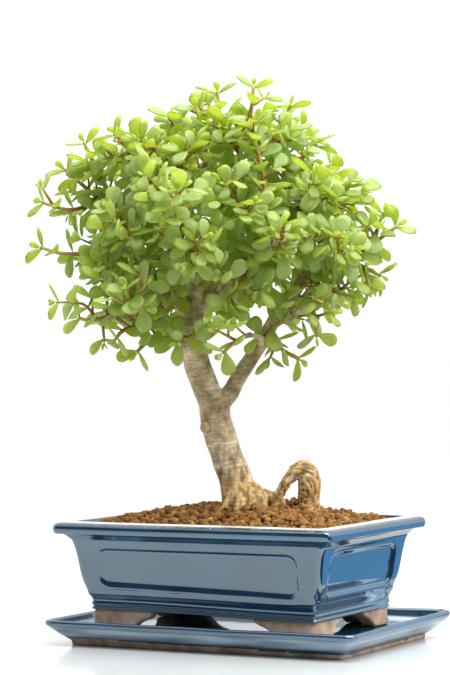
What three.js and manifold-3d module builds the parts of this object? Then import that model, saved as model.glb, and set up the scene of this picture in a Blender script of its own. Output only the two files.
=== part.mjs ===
// A dwarf jade bonsai in a glazed rectangular pot on a matching drip saucer.
// Millimetres, +Z up. The origin is the centre of the saucer's flat underside.

import * as THREE from 'three';
import { mergeVertices } from 'three/addons/utils/BufferGeometryUtils.js';
import Module from 'manifold-3d';

const wasm = await Module();
wasm.setup();

// ---------------------------------------------------------------- driving dimensions

const TOUCH_GAP = 0.3;
const CORNER_STEPS = 3;

const saucer = {
  halfLength: 99,
  halfWidth: 64.5,
  floorTop: 9.5,
};

const pot = {
  centreX: -4.4,
  centreY: -2.2,
  halfLength: 101.4,
  halfWidth: 75.4,
  footBottom: saucer.floorTop + TOUCH_GAP,
  baseBottom: 23.2,
  floorTop: 31,
  wallInset: 12.8,
  wallLean: 0.185,
  panelRecess: 1.6,
  panelBottom: 38,
  panelTop: 63.6,
  panelHalfLength: 72.5,
  panelHalfWidth: 48,
  panelCorner: 6,
  holeRadius: 9,
  holeX: 38,
};

const foot = {
  inset: 19.8,
  flare: 1.3,
  thickness: 9,
  frontTop: 45,
  frontBottom: 28,
  sideTop: 41,
  sideBottom: 24,
};

const screen = {
  side: 28,
  thickness: 1.2,
  meshOpening: 7,
  meshPitch: 11,
};

const soil = {
  edgeHeight: 75.4,
  crownHeight: 89.5,
  halfLength: 90,
  halfWidth: 64,
  granule: 1.7,
  cellsLong: 20,
  cellsWide: 13,
};

const leaf = {
  length: 16,
  widthRatio: 0.62,
  thickness: 2.6,
  thickestAt: 0.32,
  root: -0.2,
  droop: 0.07,
  tipSpread: 0.6,
  spread: 0.3,
  faceForward: 0.4,
  faceOutward: 0.8,
  faceUp: 0.6,
};

const twig = {
  mainBase: 1.7,
  mainTip: 1.1,
  sideBase: 0.75,
  sideTip: 0.8,
  sides: 4,
  tipBud: 2.2,
  internode: 10,
  pairStep: 2,
  shootLength: 50,
  sideShootLength: 25,
  shortestShoot: 14,
};

const TWIG_GAP = 0.34;
const GOLDEN_ANGLE = 2.39996;
const TREE_TURN = 0.495;
const SEED = 20240611;

// ---------------------------------------------------------------- materials

const glazeBlue = new THREE.MeshStandardMaterial({ color: 0x1f4468, roughness: 0.12, metalness: 0 });
const granuleBrown = new THREE.MeshStandardMaterial({ color: 0x9a6a3c, roughness: 0.95, metalness: 0 });
const barkTan = new THREE.MeshStandardMaterial({ color: 0x9c8a70, roughness: 0.85, metalness: 0 });
const leafGreen = new THREE.MeshStandardMaterial({ color: 0x5c8f3c, roughness: 0.35, metalness: 0 });
const screenBlack = new THREE.MeshStandardMaterial({ color: 0x202022, roughness: 0.6, metalness: 0 });

// ---------------------------------------------------------------- solids and meshes

// A closed solid from a geometry: shared vertices are merged and triangles without area dropped.
function solidFrom(geometry) {
  const plain = geometry.clone();
  plain.deleteAttribute('normal');
  plain.deleteAttribute('uv');
  const merged = mergeVertices(plain, 1e-4);
  const corners = merged.index.array;
  const kept = [];
  for (let i = 0; i < corners.length; i += 3) {
    const [a, b, c] = corners.slice(i, i + 3);
    if (a !== b && b !== c && c !== a) kept.push(a, b, c);
  }
  const mesh = new wasm.Mesh({
    numProp: 3,
    vertProperties: new Float32Array(merged.attributes.position.array),
    triVerts: new Uint32Array(kept),
  });
  return new wasm.Manifold(mesh);
}

function geometryFrom(solid) {
  const mesh = solid.getMesh();
  const geometry = new THREE.BufferGeometry();
  geometry.setAttribute('position', new THREE.BufferAttribute(new Float32Array(mesh.vertProperties), 3));
  geometry.setIndex(new THREE.BufferAttribute(new Uint32Array(mesh.triVerts), 1));
  geometry.computeVertexNormals();
  return geometry;
}

function part(name, solid, material) {
  const mesh = new THREE.Mesh(geometryFrom(solid), material);
  mesh.name = name;
  return mesh;
}

// The largest body of a solid, without the scraps that a cut leaves.
function largestBody(solid) {
  const bodies = solid.decompose();
  bodies.sort((a, b) => b.volume() - a.volume());
  return bodies[0];
}

// Point k of a rectangle with round corners, counted anticlockwise from the +X side.
function rectanglePoint(halfLength, halfWidth, radius, k) {
  const perCorner = CORNER_STEPS + 1;
  const corner = Math.floor(k / perCorner) % 4;
  const turn = ((k % perCorner) / CORNER_STEPS) * (Math.PI / 2) + corner * (Math.PI / 2);
  const signX = corner === 0 || corner === 3 ? 1 : -1;
  const signY = corner < 2 ? 1 : -1;
  const round = Math.min(radius, halfLength, halfWidth);
  const x = signX * (halfLength - round) + round * Math.cos(turn);
  const y = signY * (halfWidth - round) + round * Math.sin(turn);
  return [x, y];
}

// A closed shell whose rings are rectangles with round corners. Each ring is
// [half length, half width, corner radius, z]; the first and last rings lie on the axis or coincide.
function rectangularTurning(rings) {
  const count = 4 * (CORNER_STEPS + 1);
  const geometry = new THREE.LatheGeometry(rings.map(() => new THREE.Vector2(1, 0)), count);
  const position = geometry.attributes.position;
  for (let i = 0; i < position.count; i += 1) {
    const [halfLength, halfWidth, radius, z] = rings[i % rings.length];
    const k = Math.floor(i / rings.length) % count;
    const [x, y] = rectanglePoint(halfLength, halfWidth, radius, k);
    position.setXYZ(i, x, y, z);
  }
  return geometry;
}

// A straight prism of an outline, with its depth centred on the outline's plane.
function prism(outline, depth) {
  const shape = new THREE.Shape(outline.map(([x, y]) => new THREE.Vector2(x, y)));
  const geometry = new THREE.ExtrudeGeometry(shape, { depth, bevelEnabled: false });
  geometry.translate(0, 0, -depth / 2);
  return geometry;
}

function vector(point) {
  return new THREE.Vector3(...point);
}

// A direction made square to another.
function squared(direction, tangent) {
  return direction.clone().addScaledVector(tangent, -direction.dot(tangent)).normalize();
}

// The points of a line, its direction at each, and a direction square to it that is carried along.
function lineFrames(points) {
  const path = points.map(vector);
  const last = path.length - 1;
  const tangents = path.map((p, i) => {
    const before = path[Math.max(i - 1, 0)];
    const after = path[Math.min(i + 1, last)];
    return after.clone().sub(before).normalize();
  });
  const depth = Math.abs(tangents[0].y) > 0.85 ? new THREE.Vector3(1, 0, 0) : new THREE.Vector3(0, 1, 0);
  const across = [new THREE.Vector3().crossVectors(tangents[0], depth).normalize()];
  for (let i = 1; i <= last; i += 1) across.push(squared(across[i - 1], tangents[i]));
  return { path, tangents, across };
}

// A tube along points, with a radius at each and its section turned about the line by an angle;
// grow makes it that much fatter and longer.
function tube(points, radii, sides, turn = 0, grow = 0) {
  const { path, tangents, across } = lineFrames(points);
  const last = path.length - 1;
  path[0].addScaledVector(tangents[0], -grow);
  path[last].addScaledVector(tangents[last], grow);
  const geometry = new THREE.CylinderGeometry(1, 1, 1, sides, last);
  const position = geometry.attributes.position;
  for (let i = 0; i < position.count; i += 1) {
    const ring = Math.round((position.getY(i) + 0.5) * last);
    const first = across[ring].clone().applyAxisAngle(tangents[ring], turn);
    const second = first.clone().cross(tangents[ring]);
    const radius = radii[ring] + grow;
    const spot = path[ring].clone();
    spot.addScaledVector(first, position.getX(i) * radius);
    spot.addScaledVector(second, position.getZ(i) * radius);
    position.setXYZ(i, spot.x, spot.y, spot.z);
  }
  return geometry;
}

// ---------------------------------------------------------------- saucer

function makeSaucer() {
  // [outward offset from the foot, z, corner radius], up the outside, over the rim and down inside
  const profile = [
    [0, 0, 3],
    [0.3, 2.8, 3],
    [3.2, 4.8, 4],
    [7.5, 8.2, 5],
    [11.4, 11.8, 6],
    [13.7, 14.4, 7],
    [14, 15.6, 7],
    [12.6, 16.7, 7],
    [10.6, 15.9, 6],
    [6.6, 12.4, 5],
    [2.4, 10.2, 4],
    [-2, saucer.floorTop, 3],
  ];
  const rings = profile.map(([out, z, radius]) => [
    saucer.halfLength + out,
    saucer.halfWidth + out,
    radius,
    z,
  ]);
  rings.unshift([0, 0, 0, 0]);
  rings.push([0, 0, 0, saucer.floorTop]);
  return part('saucer', solidFrom(rectangularTurning(rings)), glazeBlue);
}

// ---------------------------------------------------------------- pot

function potBody() {
  // [inset from the rim, z, corner radius], up the outside, over the lip and down inside
  const profile = [
    [19.1, pot.baseBottom, 3],
    [18.9, 27.5, 3],
    [17.3, 32.5, 4],
    [14.7, 40, 4.5],
    [12.7, 50, 4.5],
    [11.2, 60, 4.5],
    [9.6, 66.5, 4.5],
    [7.9, 70.5, 4.5],
    [6.2, 73.6, 4],
    [1.6, 74.4, 4],
    [0, 77.6, 4],
    [1.4, 80.6, 4],
    [4, 81.3, 4],
    [10, 80.6, 4],
    [12.5, 72.5, 4],
    [20, 50, 4],
    [26.5, pot.floorTop, 4],
  ];
  const rings = profile.map(([inset, z, radius]) => [
    pot.halfLength - inset,
    pot.halfWidth - inset,
    radius,
    z,
  ]);
  rings.unshift([0, 0, 0, pot.baseBottom]);
  rings.push([0, 0, 0, pot.floorTop]);
  return solidFrom(rectangularTurning(rings));
}

// The unglazed foot ring, slightly flared, before the gaps between the feet are cut.
function footRing() {
  const inside = foot.inset + foot.thickness;
  const top = pot.baseBottom + 1.3;
  const profile = [
    [foot.inset, top, 4],
    [inside + 1, top, 2],
    [inside, pot.footBottom, 2],
    [foot.inset - foot.flare, pot.footBottom, 5],
    [foot.inset, pot.baseBottom - TOUCH_GAP, 4],
    [foot.inset, top, 4],
  ];
  const rings = profile.map(([inset, z, radius]) => [
    pot.halfLength - inset,
    pot.halfWidth - inset,
    radius,
    z,
  ]);
  return solidFrom(rectangularTurning(rings));
}

// The gap between two feet, in side view: its edges slope and bulge like a cloud scroll.
function footGap(halfBase, topLength, bottomLength) {
  const high = halfBase - topLength;
  const low = halfBase - bottomLength;
  const middle = (pot.footBottom + pot.baseBottom) / 2 + 2;
  const outline = [
    [-low, pot.footBottom - 3],
    [low, pot.footBottom - 3],
    [low, pot.footBottom],
    [low - 4, middle - 3],
    [high + 3, middle],
    [high, pot.baseBottom],
    [-high, pot.baseBottom],
    [-high - 3, middle],
    [-low + 4, middle - 3],
    [-low, pot.footBottom],
  ];
  return prism(outline, 4 * pot.halfLength);
}

// A tool that sinks a panel with cut corners into a wall that leans outwards.
function panelTool(halfLength, wallDistance) {
  const low = -(pot.panelTop - pot.panelBottom) / 2;
  const high = -low;
  const cut = pot.panelCorner;
  const outline = [
    [-halfLength + cut, low],
    [halfLength - cut, low],
    [halfLength, low + cut],
    [halfLength, high - cut],
    [halfLength - cut, high],
    [-halfLength + cut, high],
    [-halfLength, high - cut],
    [-halfLength, low + cut],
  ];
  const depth = 12;
  const geometry = prism(outline, depth);
  geometry.translate(0, 0, depth / 2 - pot.panelRecess);
  geometry.rotateX(Math.PI / 2 + pot.wallLean);
  geometry.translate(0, -wallDistance, (pot.panelTop + pot.panelBottom) / 2);
  return geometry;
}

function makePot() {
  let solid = potBody();
  const frontGap = footGap(pot.halfLength - foot.inset, foot.frontTop, foot.frontBottom);
  frontGap.rotateX(Math.PI / 2);
  const sideGap = footGap(pot.halfWidth - foot.inset, foot.sideTop, foot.sideBottom);
  sideGap.rotateX(Math.PI / 2);
  sideGap.rotateZ(Math.PI / 2);
  const feet = footRing().subtract(solidFrom(frontGap)).subtract(solidFrom(sideGap));
  solid = solid.add(feet);

  for (const side of [0, Math.PI]) {
    const front = panelTool(pot.panelHalfLength, pot.halfWidth - pot.wallInset);
    front.rotateZ(side);
    solid = solid.subtract(solidFrom(front));
    const end = panelTool(pot.panelHalfWidth, pot.halfLength - pot.wallInset);
    end.rotateZ(side + Math.PI / 2);
    solid = solid.subtract(solidFrom(end));
  }
  for (const side of [-1, 1]) {
    const hole = new THREE.CylinderGeometry(pot.holeRadius, pot.holeRadius, 40, 14);
    hole.rotateX(Math.PI / 2);
    hole.translate(side * pot.holeX, 0, pot.baseBottom);
    solid = solid.subtract(solidFrom(hole));
  }
  return part('pot', solid, glazeBlue);
}

// ---------------------------------------------------------------- drainage screens

function makeScreen(name, x) {
  const plate = new THREE.BoxGeometry(screen.side, screen.side, screen.thickness);
  let solid = solidFrom(plate);
  for (const column of [-0.5, 0.5]) {
    for (const row of [-0.5, 0.5]) {
      const opening = new THREE.BoxGeometry(screen.meshOpening, screen.meshOpening, 4);
      opening.translate(column * screen.meshPitch, row * screen.meshPitch, 0);
      solid = solid.subtract(solidFrom(opening));
    }
  }
  const mesh = part(name, solid, screenBlack);
  mesh.position.set(x, 0, pot.floorTop + TOUCH_GAP + screen.thickness / 2);
  return mesh;
}

// ---------------------------------------------------------------- the tree's wood

// Points are [across the tree's front, away from its front, up]. Each branch starts on its parent.
const wood = {
  trunk: {
    points: [
      [2, 0, 80], [0.5, 0, 92], [-3, 0, 106], [-8, -1, 120], [-12.5, -2, 134], [-16, -2, 147],
      [-17, -1, 160],
    ],
    radii: [12.5, 12.8, 11.2, 10.5, 10.6, 10.3, 10.6],
    sides: 8,
  },
  left_stem: {
    points: [
      [-16, -1, 152], [-23, -3, 170], [-28, -5, 184], [-30.5, -6, 198], [-31, -6, 212], [-30, -5, 226],
    ],
    radii: [8.8, 8.9, 8.8, 8.2, 7.6, 6.4],
    sides: 7,
  },
  left_leader: {
    points: [
      [-31, -6, 216], [-34, -8, 233], [-38, -12, 250], [-41, -14, 263], [-43, -12, 283], [-44, -8, 306],
      [-44, -6, 321],
    ],
    radii: [6, 5.2, 4.2, 3.6, 3, 2.6, 2.3],
    sides: 5,
  },
  right_leader: {
    points: [
      [-29, -5, 217], [-16, 0, 233], [-2, 8, 246], [15, 14, 266], [25, 16, 283], [31, 16, 301],
      [31, 14, 327], [31, 12, 348],
    ],
    radii: [5.6, 5, 4.4, 3.6, 3, 2.6, 2.1, 1.8],
    sides: 5,
  },
  right_branch: {
    points: [
      [-16, 0, 154], [-6.5, 1, 164.5], [-0.5, 3, 175], [13, 7, 195], [24, 10, 213], [34, 10, 227],
      [45, 8, 243], [54, 5, 252], [74, 0, 253],
    ],
    radii: [7, 6, 5.3, 5, 4.6, 4.3, 4, 4.2, 2.2],
    sides: 6,
  },
  right_back: {
    points: [[24, 10, 213], [42, 35, 226], [60, 55, 240], [74, 66, 252]],
    radii: [3.4, 2.8, 2.2, 1.7],
    sides: 4,
  },
  left_low: {
    points: [[-31, -6, 199], [-44, -11, 200], [-58, -18, 201], [-73, -22, 209], [-83, -25, 216]],
    radii: [3.8, 3.2, 2.6, 2.2, 1.9],
    sides: 5,
  },
  left_middle: {
    points: [[-35, -8, 232], [-49, -4, 229], [-59, 0, 237], [-75, 2, 252], [-91, 0, 264]],
    radii: [3.2, 2.8, 2.5, 2, 1.6],
    sides: 5,
  },
  left_back: {
    points: [[-31, -6, 212], [-43, 20, 224], [-60, 45, 234], [-74, 62, 248]],
    radii: [3.4, 2.8, 2.2, 1.7],
    sides: 4,
  },
  left_high: {
    points: [[-39, -13, 256], [-52, 5, 268], [-72, 10, 285], [-87, 8, 292], [-95, 5, 291]],
    radii: [2.9, 2.5, 2.1, 1.8, 1.6],
    sides: 4,
  },
  back_centre: {
    points: [[-14, 1, 235], [-9, 30, 244], [-4, 55, 258], [-1, 72, 276]],
    radii: [3.2, 2.6, 2.2, 1.7],
    sides: 4,
  },
  back_top: {
    points: [[-43, -12, 280], [-35, 20, 297], [-25, 40, 315], [-17, 50, 330]],
    radii: [2.6, 2.3, 2, 1.6],
    sides: 4,
  },
  front_left: {
    points: [[-38, -12, 248], [-39, -35, 259], [-40, -55, 274], [-39, -68, 286]],
    radii: [2.8, 2.4, 2, 1.6],
    sides: 4,
  },
  front_right: {
    points: [[-4, 7, 244], [8, -20, 251], [19, -45, 258], [27, -60, 264]],
    radii: [3, 2.4, 2, 1.6],
    sides: 4,
  },
  top_centre: {
    points: [[16, 14, 267], [8, 5, 290], [3, 0, 309], [1, -2, 332], [1, -2, 351]],
    radii: [2.6, 2.3, 2, 1.8, 1.6],
    sides: 4,
  },
  right_top: {
    points: [[24, 16, 281], [42, 10, 287], [58, 5, 288], [71, 0, 291]],
    radii: [2.6, 2.2, 1.9, 1.6],
    sides: 4,
  },
  right_back_top: {
    points: [[25, 16, 284], [39, 40, 298], [54, 58, 309]],
    radii: [2.4, 2, 1.6],
    sides: 4,
  },
  top_left: {
    points: [[-43, -12, 291], [-51, -10, 303], [-60, -15, 316], [-72, -15, 326]],
    radii: [2.4, 2.1, 1.8, 1.6],
    sides: 4,
  },
  low_right: {
    points: [[24, 10, 213], [34, -15, 214], [40, -25, 219], [50, -30, 222]],
    radii: [2.8, 2.3, 1.9, 1.6],
    sides: 4,
  },
  low_front: {
    points: [[13, 7, 196], [15, -20, 200], [7, -40, 203]],
    radii: [2.4, 2, 1.6],
    sides: 4,
  },
};

// Surface roots; each ends a little way down in the soil.
const roots = {
  root_front: { points: [[0, -5, 104], [-2, -12, 97], [-1.5, -16, 84]], radii: [5.5, 5.6, 5], sides: 5 },
  root_front_left: {
    points: [[-5, -9, 98], [-9, -15, 93], [-13, -18, 88], [-17, -20, 80]],
    radii: [3, 2, 1.7, 1.5],
    sides: 5,
  },
  root_right: {
    points: [[4, -3, 104], [12, -6, 98.5], [19, -8, 95.5], [25, -9, 92.5], [30, -10, 82]],
    radii: [5, 4.6, 4.4, 4.2, 3.6],
    sides: 5,
  },
  root_near: { points: [[5, -6, 103], [7, -14, 96], [8, -17, 84]], radii: [4, 3.3, 2.8], sides: 5 },
  root_near_right: { points: [[7, -5, 103], [13, -12, 97], [15, -16, 84]], radii: [4, 3.4, 2.8], sides: 5 },
  root_back: { points: [[2, 5, 103], [8, 14, 96], [14, 20, 82]], radii: [4.6, 3.8, 2.8], sides: 5 },
  root_left: { points: [[-4, 3, 102], [-9, 11, 94], [-13, 16, 82]], radii: [4.2, 3.2, 2.4], sides: 5 },
  loop: {
    points: [
      [20, -11, 84], [24.5, -10, 95], [29, -10, 103.5], [34, -9, 110], [39.5, -8, 114.3],
      [44.5, -8, 111.5], [45.3, -8, 103], [45, -8, 95], [44.5, -8, 80],
    ],
    radii: [3, 3.4, 3.3, 4.2, 5.6, 7, 7.4, 7.2, 7],
    sides: 7,
  },
};

// Short stubs left where branches were cut off.
const stubs = {
  knot: { points: [[-17, -6, 143], [-23, -11, 142.5]], radii: [4, 3.5], sides: 7 },
  fork_stub: { points: [[-29, -5, 220], [-26, -8, 236]], radii: [4.6, 3.6], sides: 6 },
  leader_stub: { points: [[-44, -7, 308], [-48, -14, 316]], radii: [2.4, 2.2], sides: 4 },
  right_stub: { points: [[31, 16, 304], [36, 12, 315]], radii: [2.2, 1.8], sides: 4 },
};

function treeSolid(grow) {
  const tubes = [];
  for (const piece of [...Object.values(wood), ...Object.values(roots), ...Object.values(stubs)]) {
    tubes.push(solidFrom(tube(piece.points, piece.radii, piece.sides, 0, grow)));
  }
  return wasm.Manifold.union(tubes);
}

// ---------------------------------------------------------------- sprays set by hand

// Each spray has a main stem that starts on the tree and side stems that start on the main one:
// [fraction of the main stem's length, point, ...].
const handSprays = [
  {
    name: 'left_long',
    main: [[-91, 0, 264], [-104, -2, 258], [-118, -4, 258], [-131, -5, 262]],
    sides: [],
  },
  {
    name: 'left_upper',
    main: [[-95, 5, 291], [-112, 4, 287], [-130, 0, 292]],
    sides: [[0.79, [-130, 2, 302]]],
  },
  {
    name: 'left_olive',
    main: [[-81, 9, 289], [-96, 4, 319], [-102, 3, 332]],
    sides: [[0.6, [-99, -12, 317]]],
  },
  { name: 'left_cluster', main: [[-90, 7, 292], [-116, 16, 315]], sides: [] },
  {
    name: 'left_end',
    main: [[-83, -25, 216], [-97, -28, 213], [-105, -28, 215]],
    sides: [[0.45, [-102, -31, 224], [-119, -33, 225]], [0.15, [-86, -29, 252]], [0.3, [-88, -30, 199]]],
  },
  { name: 'left_under', main: [[-70, -21, 208], [-76, -34, 206], [-80, -42, 201]], sides: [] },
  { name: 'left_under_in', main: [[-59, -18, 201], [-67, -32, 192]], sides: [] },
  {
    name: 'left_front',
    main: [[-65, -20, 205], [-68, -42, 219], [-73, -60, 233]],
    sides: [[0.6, [-81, -62, 227]], [0.69, [-59, -62, 236]]],
  },
  {
    name: 'left_mid',
    main: [[-75, 2, 252], [-83, -14, 252], [-92, -26, 248]],
    sides: [[0.47, [-87, -30, 262]]],
  },
  { name: 'left_inner', main: [[-59, 0, 237], [-63, -20, 248], [-69, -40, 254]], sides: [] },
  {
    name: 'left_upper_front',
    main: [[-72, 10, 285], [-76, -20, 278], [-81, -45, 277]],
    sides: [[0.58, [-70, -52, 265]]],
  },
  { name: 'top_left_end', main: [[-72, -15, 326], [-81, -16, 336]], sides: [] },
  { name: 'top_left_out', main: [[-69, -15, 324], [-87, -20, 319]], sides: [] },
  { name: 'top_left_olive', main: [[-60, -15, 315], [-63, -28, 331]], sides: [[0.5, [-52, -36, 325]]] },
  { name: 'top_left_high', main: [[-44, -6, 320], [-40, -6, 332], [-43, -6, 346]], sides: [] },
  { name: 'top_left_near', main: [[-44, -7, 311], [-35, -24, 317], [-28, -32, 324]], sides: [] },
  {
    name: 'top_left_front',
    main: [[-51, -10, 303], [-55, -38, 302], [-60, -56, 306]],
    sides: [[0.51, [-50, -60, 291]]],
  },
  {
    name: 'top_cut',
    main: [[1, -2, 328], [-21, -14, 338], [-27, -14, 353]],
    sides: [[0.42, [-10, -30, 338]]],
  },
  {
    name: 'top_yellow',
    main: [[2, -1, 322], [-10, -4, 344], [-13, -4, 364]],
    sides: [[0.62, [-20, -2, 357]]],
  },
  {
    name: 'top_highest',
    main: [[1, -2, 336], [9, -2, 351], [11, -2, 368]],
    sides: [[0.6, [19, 5, 361]]],
  },
  {
    name: 'front_olive',
    main: [[12, -30, 254], [16, -40, 276], [17, -42, 300], [9, -38, 339]],
    sides: [],
  },
  { name: 'top_right_cut', main: [[31, 13, 341], [35, 0, 355]], sides: [] },
  { name: 'top_right_near', main: [[31, 14, 320], [20, -24, 337]], sides: [[0.54, [35, -26, 331]]] },
  { name: 'top_right_out', main: [[31, 15, 309], [53, 8, 330]], sides: [] },
  { name: 'right_rosette', main: [[71, 0, 291], [73, -8, 301]], sides: [[0.3, [63, 6, 303]]] },
  {
    name: 'right_upper_front',
    main: [[42, 10, 287], [45, -25, 294], [48, -48, 300]],
    sides: [[0.41, [58, -34, 291]]],
  },
  {
    name: 'right_high',
    main: [[74, 0, 253], [87, -4, 261], [105, -8, 274]],
    sides: [[0.43, [96, -8, 283]], [0.6, [84, -20, 274]]],
  },
  {
    name: 'right_out',
    main: [[68, 1, 253], [83, -4, 247], [94, -6, 241]],
    sides: [[0.53, [87, -12, 232]]],
  },
  {
    name: 'right_low',
    main: [[45, 8, 243], [58, 4, 233], [77, 0, 227]],
    sides: [[0.66, [76, -16, 239]]],
  },
  {
    name: 'right_front',
    main: [[54, 5, 252], [57, -26, 259], [60, -52, 266]],
    sides: [[0.44, [69, -44, 257]], [0.55, [46, -52, 266]]],
  },
  {
    name: 'right_under',
    main: [[45, -28, 221], [50, -34, 213], [50, -38, 201]],
    sides: [[0.4, [60, -42, 217]]],
  },
  {
    name: 'right_hang',
    main: [[19, 9, 205], [26, 6, 195], [40, 2, 186]],
    sides: [[0.35, [20, 0, 187]]],
  },
  { name: 'low_twig', main: [[14, -8, 198], [20, -16, 206], [29, -26, 211]], sides: [] },
  {
    name: 'trunk_front',
    main: [[7, -40, 203], [-2, -48, 199], [-11, -52, 191]],
    sides: [[0.5, [-15, -52, 206]]],
  },
  {
    name: 'trunk_left',
    main: [[-44, -11, 200], [-38, -28, 202], [-40, -40, 198]],
    sides: [[0.5, [-25, -40, 202]]],
  },
  {
    name: 'centre_low',
    main: [[8, -20, 251], [1, -38, 238], [-8, -50, 223]],
    sides: [[0.46, [13, -50, 227]], [0.55, [-12, -52, 240]]],
  },
  { name: 'centre_end', main: [[27, -60, 264], [29, -72, 274]], sides: [] },
  { name: 'near_rosette', main: [[-39, -68, 286], [-39, -84, 293]], sides: [] },
  {
    name: 'centre_left',
    main: [[-39, -38, 261], [-30, -62, 259], [-22, -74, 264]],
    sides: [[0.53, [-29, -68, 246]]],
  },
  {
    name: 'centre_top',
    main: [[8, 5, 290], [-1, -30, 291], [-8, -56, 299]],
    sides: [[0.5, [-16, -58, 286]], [0.56, [7, -62, 279]]],
  },
];

// ---------------------------------------------------------------- sprays placed by rule

// The crown is kept inside an ellipsoid; the back of the tree is filled by sprays at the golden angle.
const crown = { centre: new THREE.Vector3(-14, 0, 276), radii: new THREE.Vector3(108, 96, 82) };

// [branch, fraction of its length] for each spray placed by rule
const backSprays = [
  ['left_back', 0.45],
  ['left_back', 0.72],
  ['left_back', 1],
  ['back_centre', 0.4],
  ['back_centre', 0.7],
  ['back_centre', 1],
  ['back_top', 0.4],
  ['back_top', 0.7],
  ['back_top', 1],
  ['right_back', 0.5],
  ['right_back', 0.75],
  ['right_back', 1],
  ['right_back_top', 0.55],
  ['right_back_top', 1],
];

// A repeatable stream of numbers from 0 to 1.
function seededNumbers(seed) {
  let state = seed;
  return () => {
    state = (Math.imul(1664525, state) + 1013904223) >>> 0;
    return state / 4294967296;
  };
}

// The point at a fraction of a line's length, the line's direction there, and the one carried along it.
function along(points, fraction) {
  const { path, across } = lineFrames(points);
  const lengths = path.slice(1).map((p, i) => p.distanceTo(path[i]));
  let left = fraction * lengths.reduce((sum, l) => sum + l, 0);
  let i = 0;
  while (i < lengths.length - 1 && left > lengths[i]) {
    left -= lengths[i];
    i += 1;
  }
  const tangent = path[i + 1].clone().sub(path[i]).normalize();
  const spot = path[i].clone().addScaledVector(tangent, left);
  return { spot, tangent, across: squared(across[i], tangent) };
}

function lineLength(points) {
  const path = points.map(vector);
  return path.slice(1).reduce((sum, p, i) => sum + p.distanceTo(path[i]), 0);
}

// How far out a spot lies, where 1 is the crown's surface.
function crownReach(spot) {
  return spot.clone().sub(crown.centre).divide(crown.radii).length();
}

// The end of a shoot that leaves a spot in a direction, cut back to the crown's surface.
function shootEnd(spot, direction, length) {
  let reach = length;
  const end = spot.clone().addScaledVector(direction, reach);
  while (crownReach(end) > 1 && reach > twig.shortestShoot) {
    reach -= 2;
    end.copy(spot).addScaledVector(direction, reach);
  }
  return end;
}

// The main stem and two side stems of a spray placed by rule; all of them turn outwards.
function backSprayStems(branch, fraction, index) {
  const { spot, tangent, across } = along(wood[branch].points, fraction);
  const outward = spot.clone().sub(crown.centre).normalize();
  const azimuth = index * GOLDEN_ANGLE;
  const direction = across.applyAxisAngle(tangent, azimuth).multiplyScalar(0.7);
  direction.addScaledVector(tangent, 0.5).addScaledVector(outward, 0.7).normalize();
  const end = shootEnd(spot, direction, twig.shootLength);
  const main = [spot.toArray(), end.toArray()];
  const stems = [main];
  for (let k = 0; k < 2; k += 1) {
    const start = along(main, 0.4 + 0.25 * k);
    const sideways = start.across.applyAxisAngle(start.tangent, azimuth + (k + 1) * GOLDEN_ANGLE);
    sideways.addScaledVector(start.tangent, 0.55).addScaledVector(outward, 0.3).normalize();
    const tip = shootEnd(start.spot, sideways, twig.sideShootLength - k);
    stems.push([start.spot.toArray(), tip.toArray()]);
  }
  return stems;
}

const sprays = [];
for (const { name, main, sides } of handSprays) {
  const stems = [main];
  for (const [fraction, ...points] of sides) stems.push([along(main, fraction).spot.toArray(), ...points]);
  sprays.push({ name, stems });
}
backSprays.forEach(([branch, fraction], index) => {
  sprays.push({ name: `back_${index + 1}`, stems: backSprayStems(branch, fraction, index) });
});

// ---------------------------------------------------------------- leaves

// One leaf's frame: its root on the stem, its direction, its upper side and its size.
function leafFrame(spot, tangent, side, spread, roll, length) {
  const direction = side.clone().multiplyScalar(Math.cos(spread));
  direction.addScaledVector(tangent, Math.sin(spread));
  const outward = spot.clone().sub(crown.centre).normalize();
  const facing = tangent.clone().multiplyScalar(leaf.faceForward);
  facing.addScaledVector(outward, leaf.faceOutward);
  facing.z += leaf.faceUp;
  facing.addScaledVector(direction, -facing.dot(direction)).normalize().applyAxisAngle(direction, roll);
  const across = new THREE.Vector3().crossVectors(direction, facing);
  return { spot, direction, facing, across, length, width: length * leaf.widthRatio };
}

// Spots on a leaf's blade, as fractions of its length and width, where it is tested for clashes.
const testSpots = [
  [0.3, 0], [0.5, 0], [0.75, 0], [1, 0],
  [0.35, 0.25], [0.6, 0.3], [0.85, 0.35], [0.6, 0.5],
  [0.35, -0.25], [0.6, -0.3], [0.85, -0.35], [0.6, -0.5],
];

function leafPoint(frame, [lengthwise, sideways]) {
  const spot = frame.spot.clone().addScaledVector(frame.direction, lengthwise * frame.length);
  return spot.addScaledVector(frame.across, sideways * frame.width);
}

// Whether a spot lies in the flat oval that holds a leaf's blade.
function touchesBlade(spot, frame) {
  const middle = frame.spot.clone().addScaledVector(frame.direction, 0.56 * frame.length);
  const offset = spot.clone().sub(middle);
  const x = offset.dot(frame.direction) / (0.52 * frame.length);
  const y = offset.dot(frame.across) / (0.58 * frame.width);
  return Math.abs(offset.dot(frame.facing)) < 2.4 && x * x + y * y < 1;
}

function distanceToSegment(spot, start, end) {
  const line = end.clone().sub(start);
  const t = Math.min(1, Math.max(0, spot.clone().sub(start).dot(line) / line.lengthSq()));
  return spot.distanceTo(start.clone().addScaledVector(line, t));
}

const limbs = [];
for (const piece of [...Object.values(wood), ...Object.values(stubs)]) {
  for (let i = 0; i + 1 < piece.points.length; i += 1) {
    const radius = Math.max(piece.radii[i], piece.radii[i + 1]);
    limbs.push({ start: vector(piece.points[i]), end: vector(piece.points[i + 1]), radius });
  }
}
for (const spray of sprays) {
  for (const points of spray.stems) {
    for (let i = 0; i + 1 < points.length; i += 1) {
      limbs.push({ start: vector(points[i]), end: vector(points[i + 1]), radius: 1.2 });
    }
  }
}

const placed = [];

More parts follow.
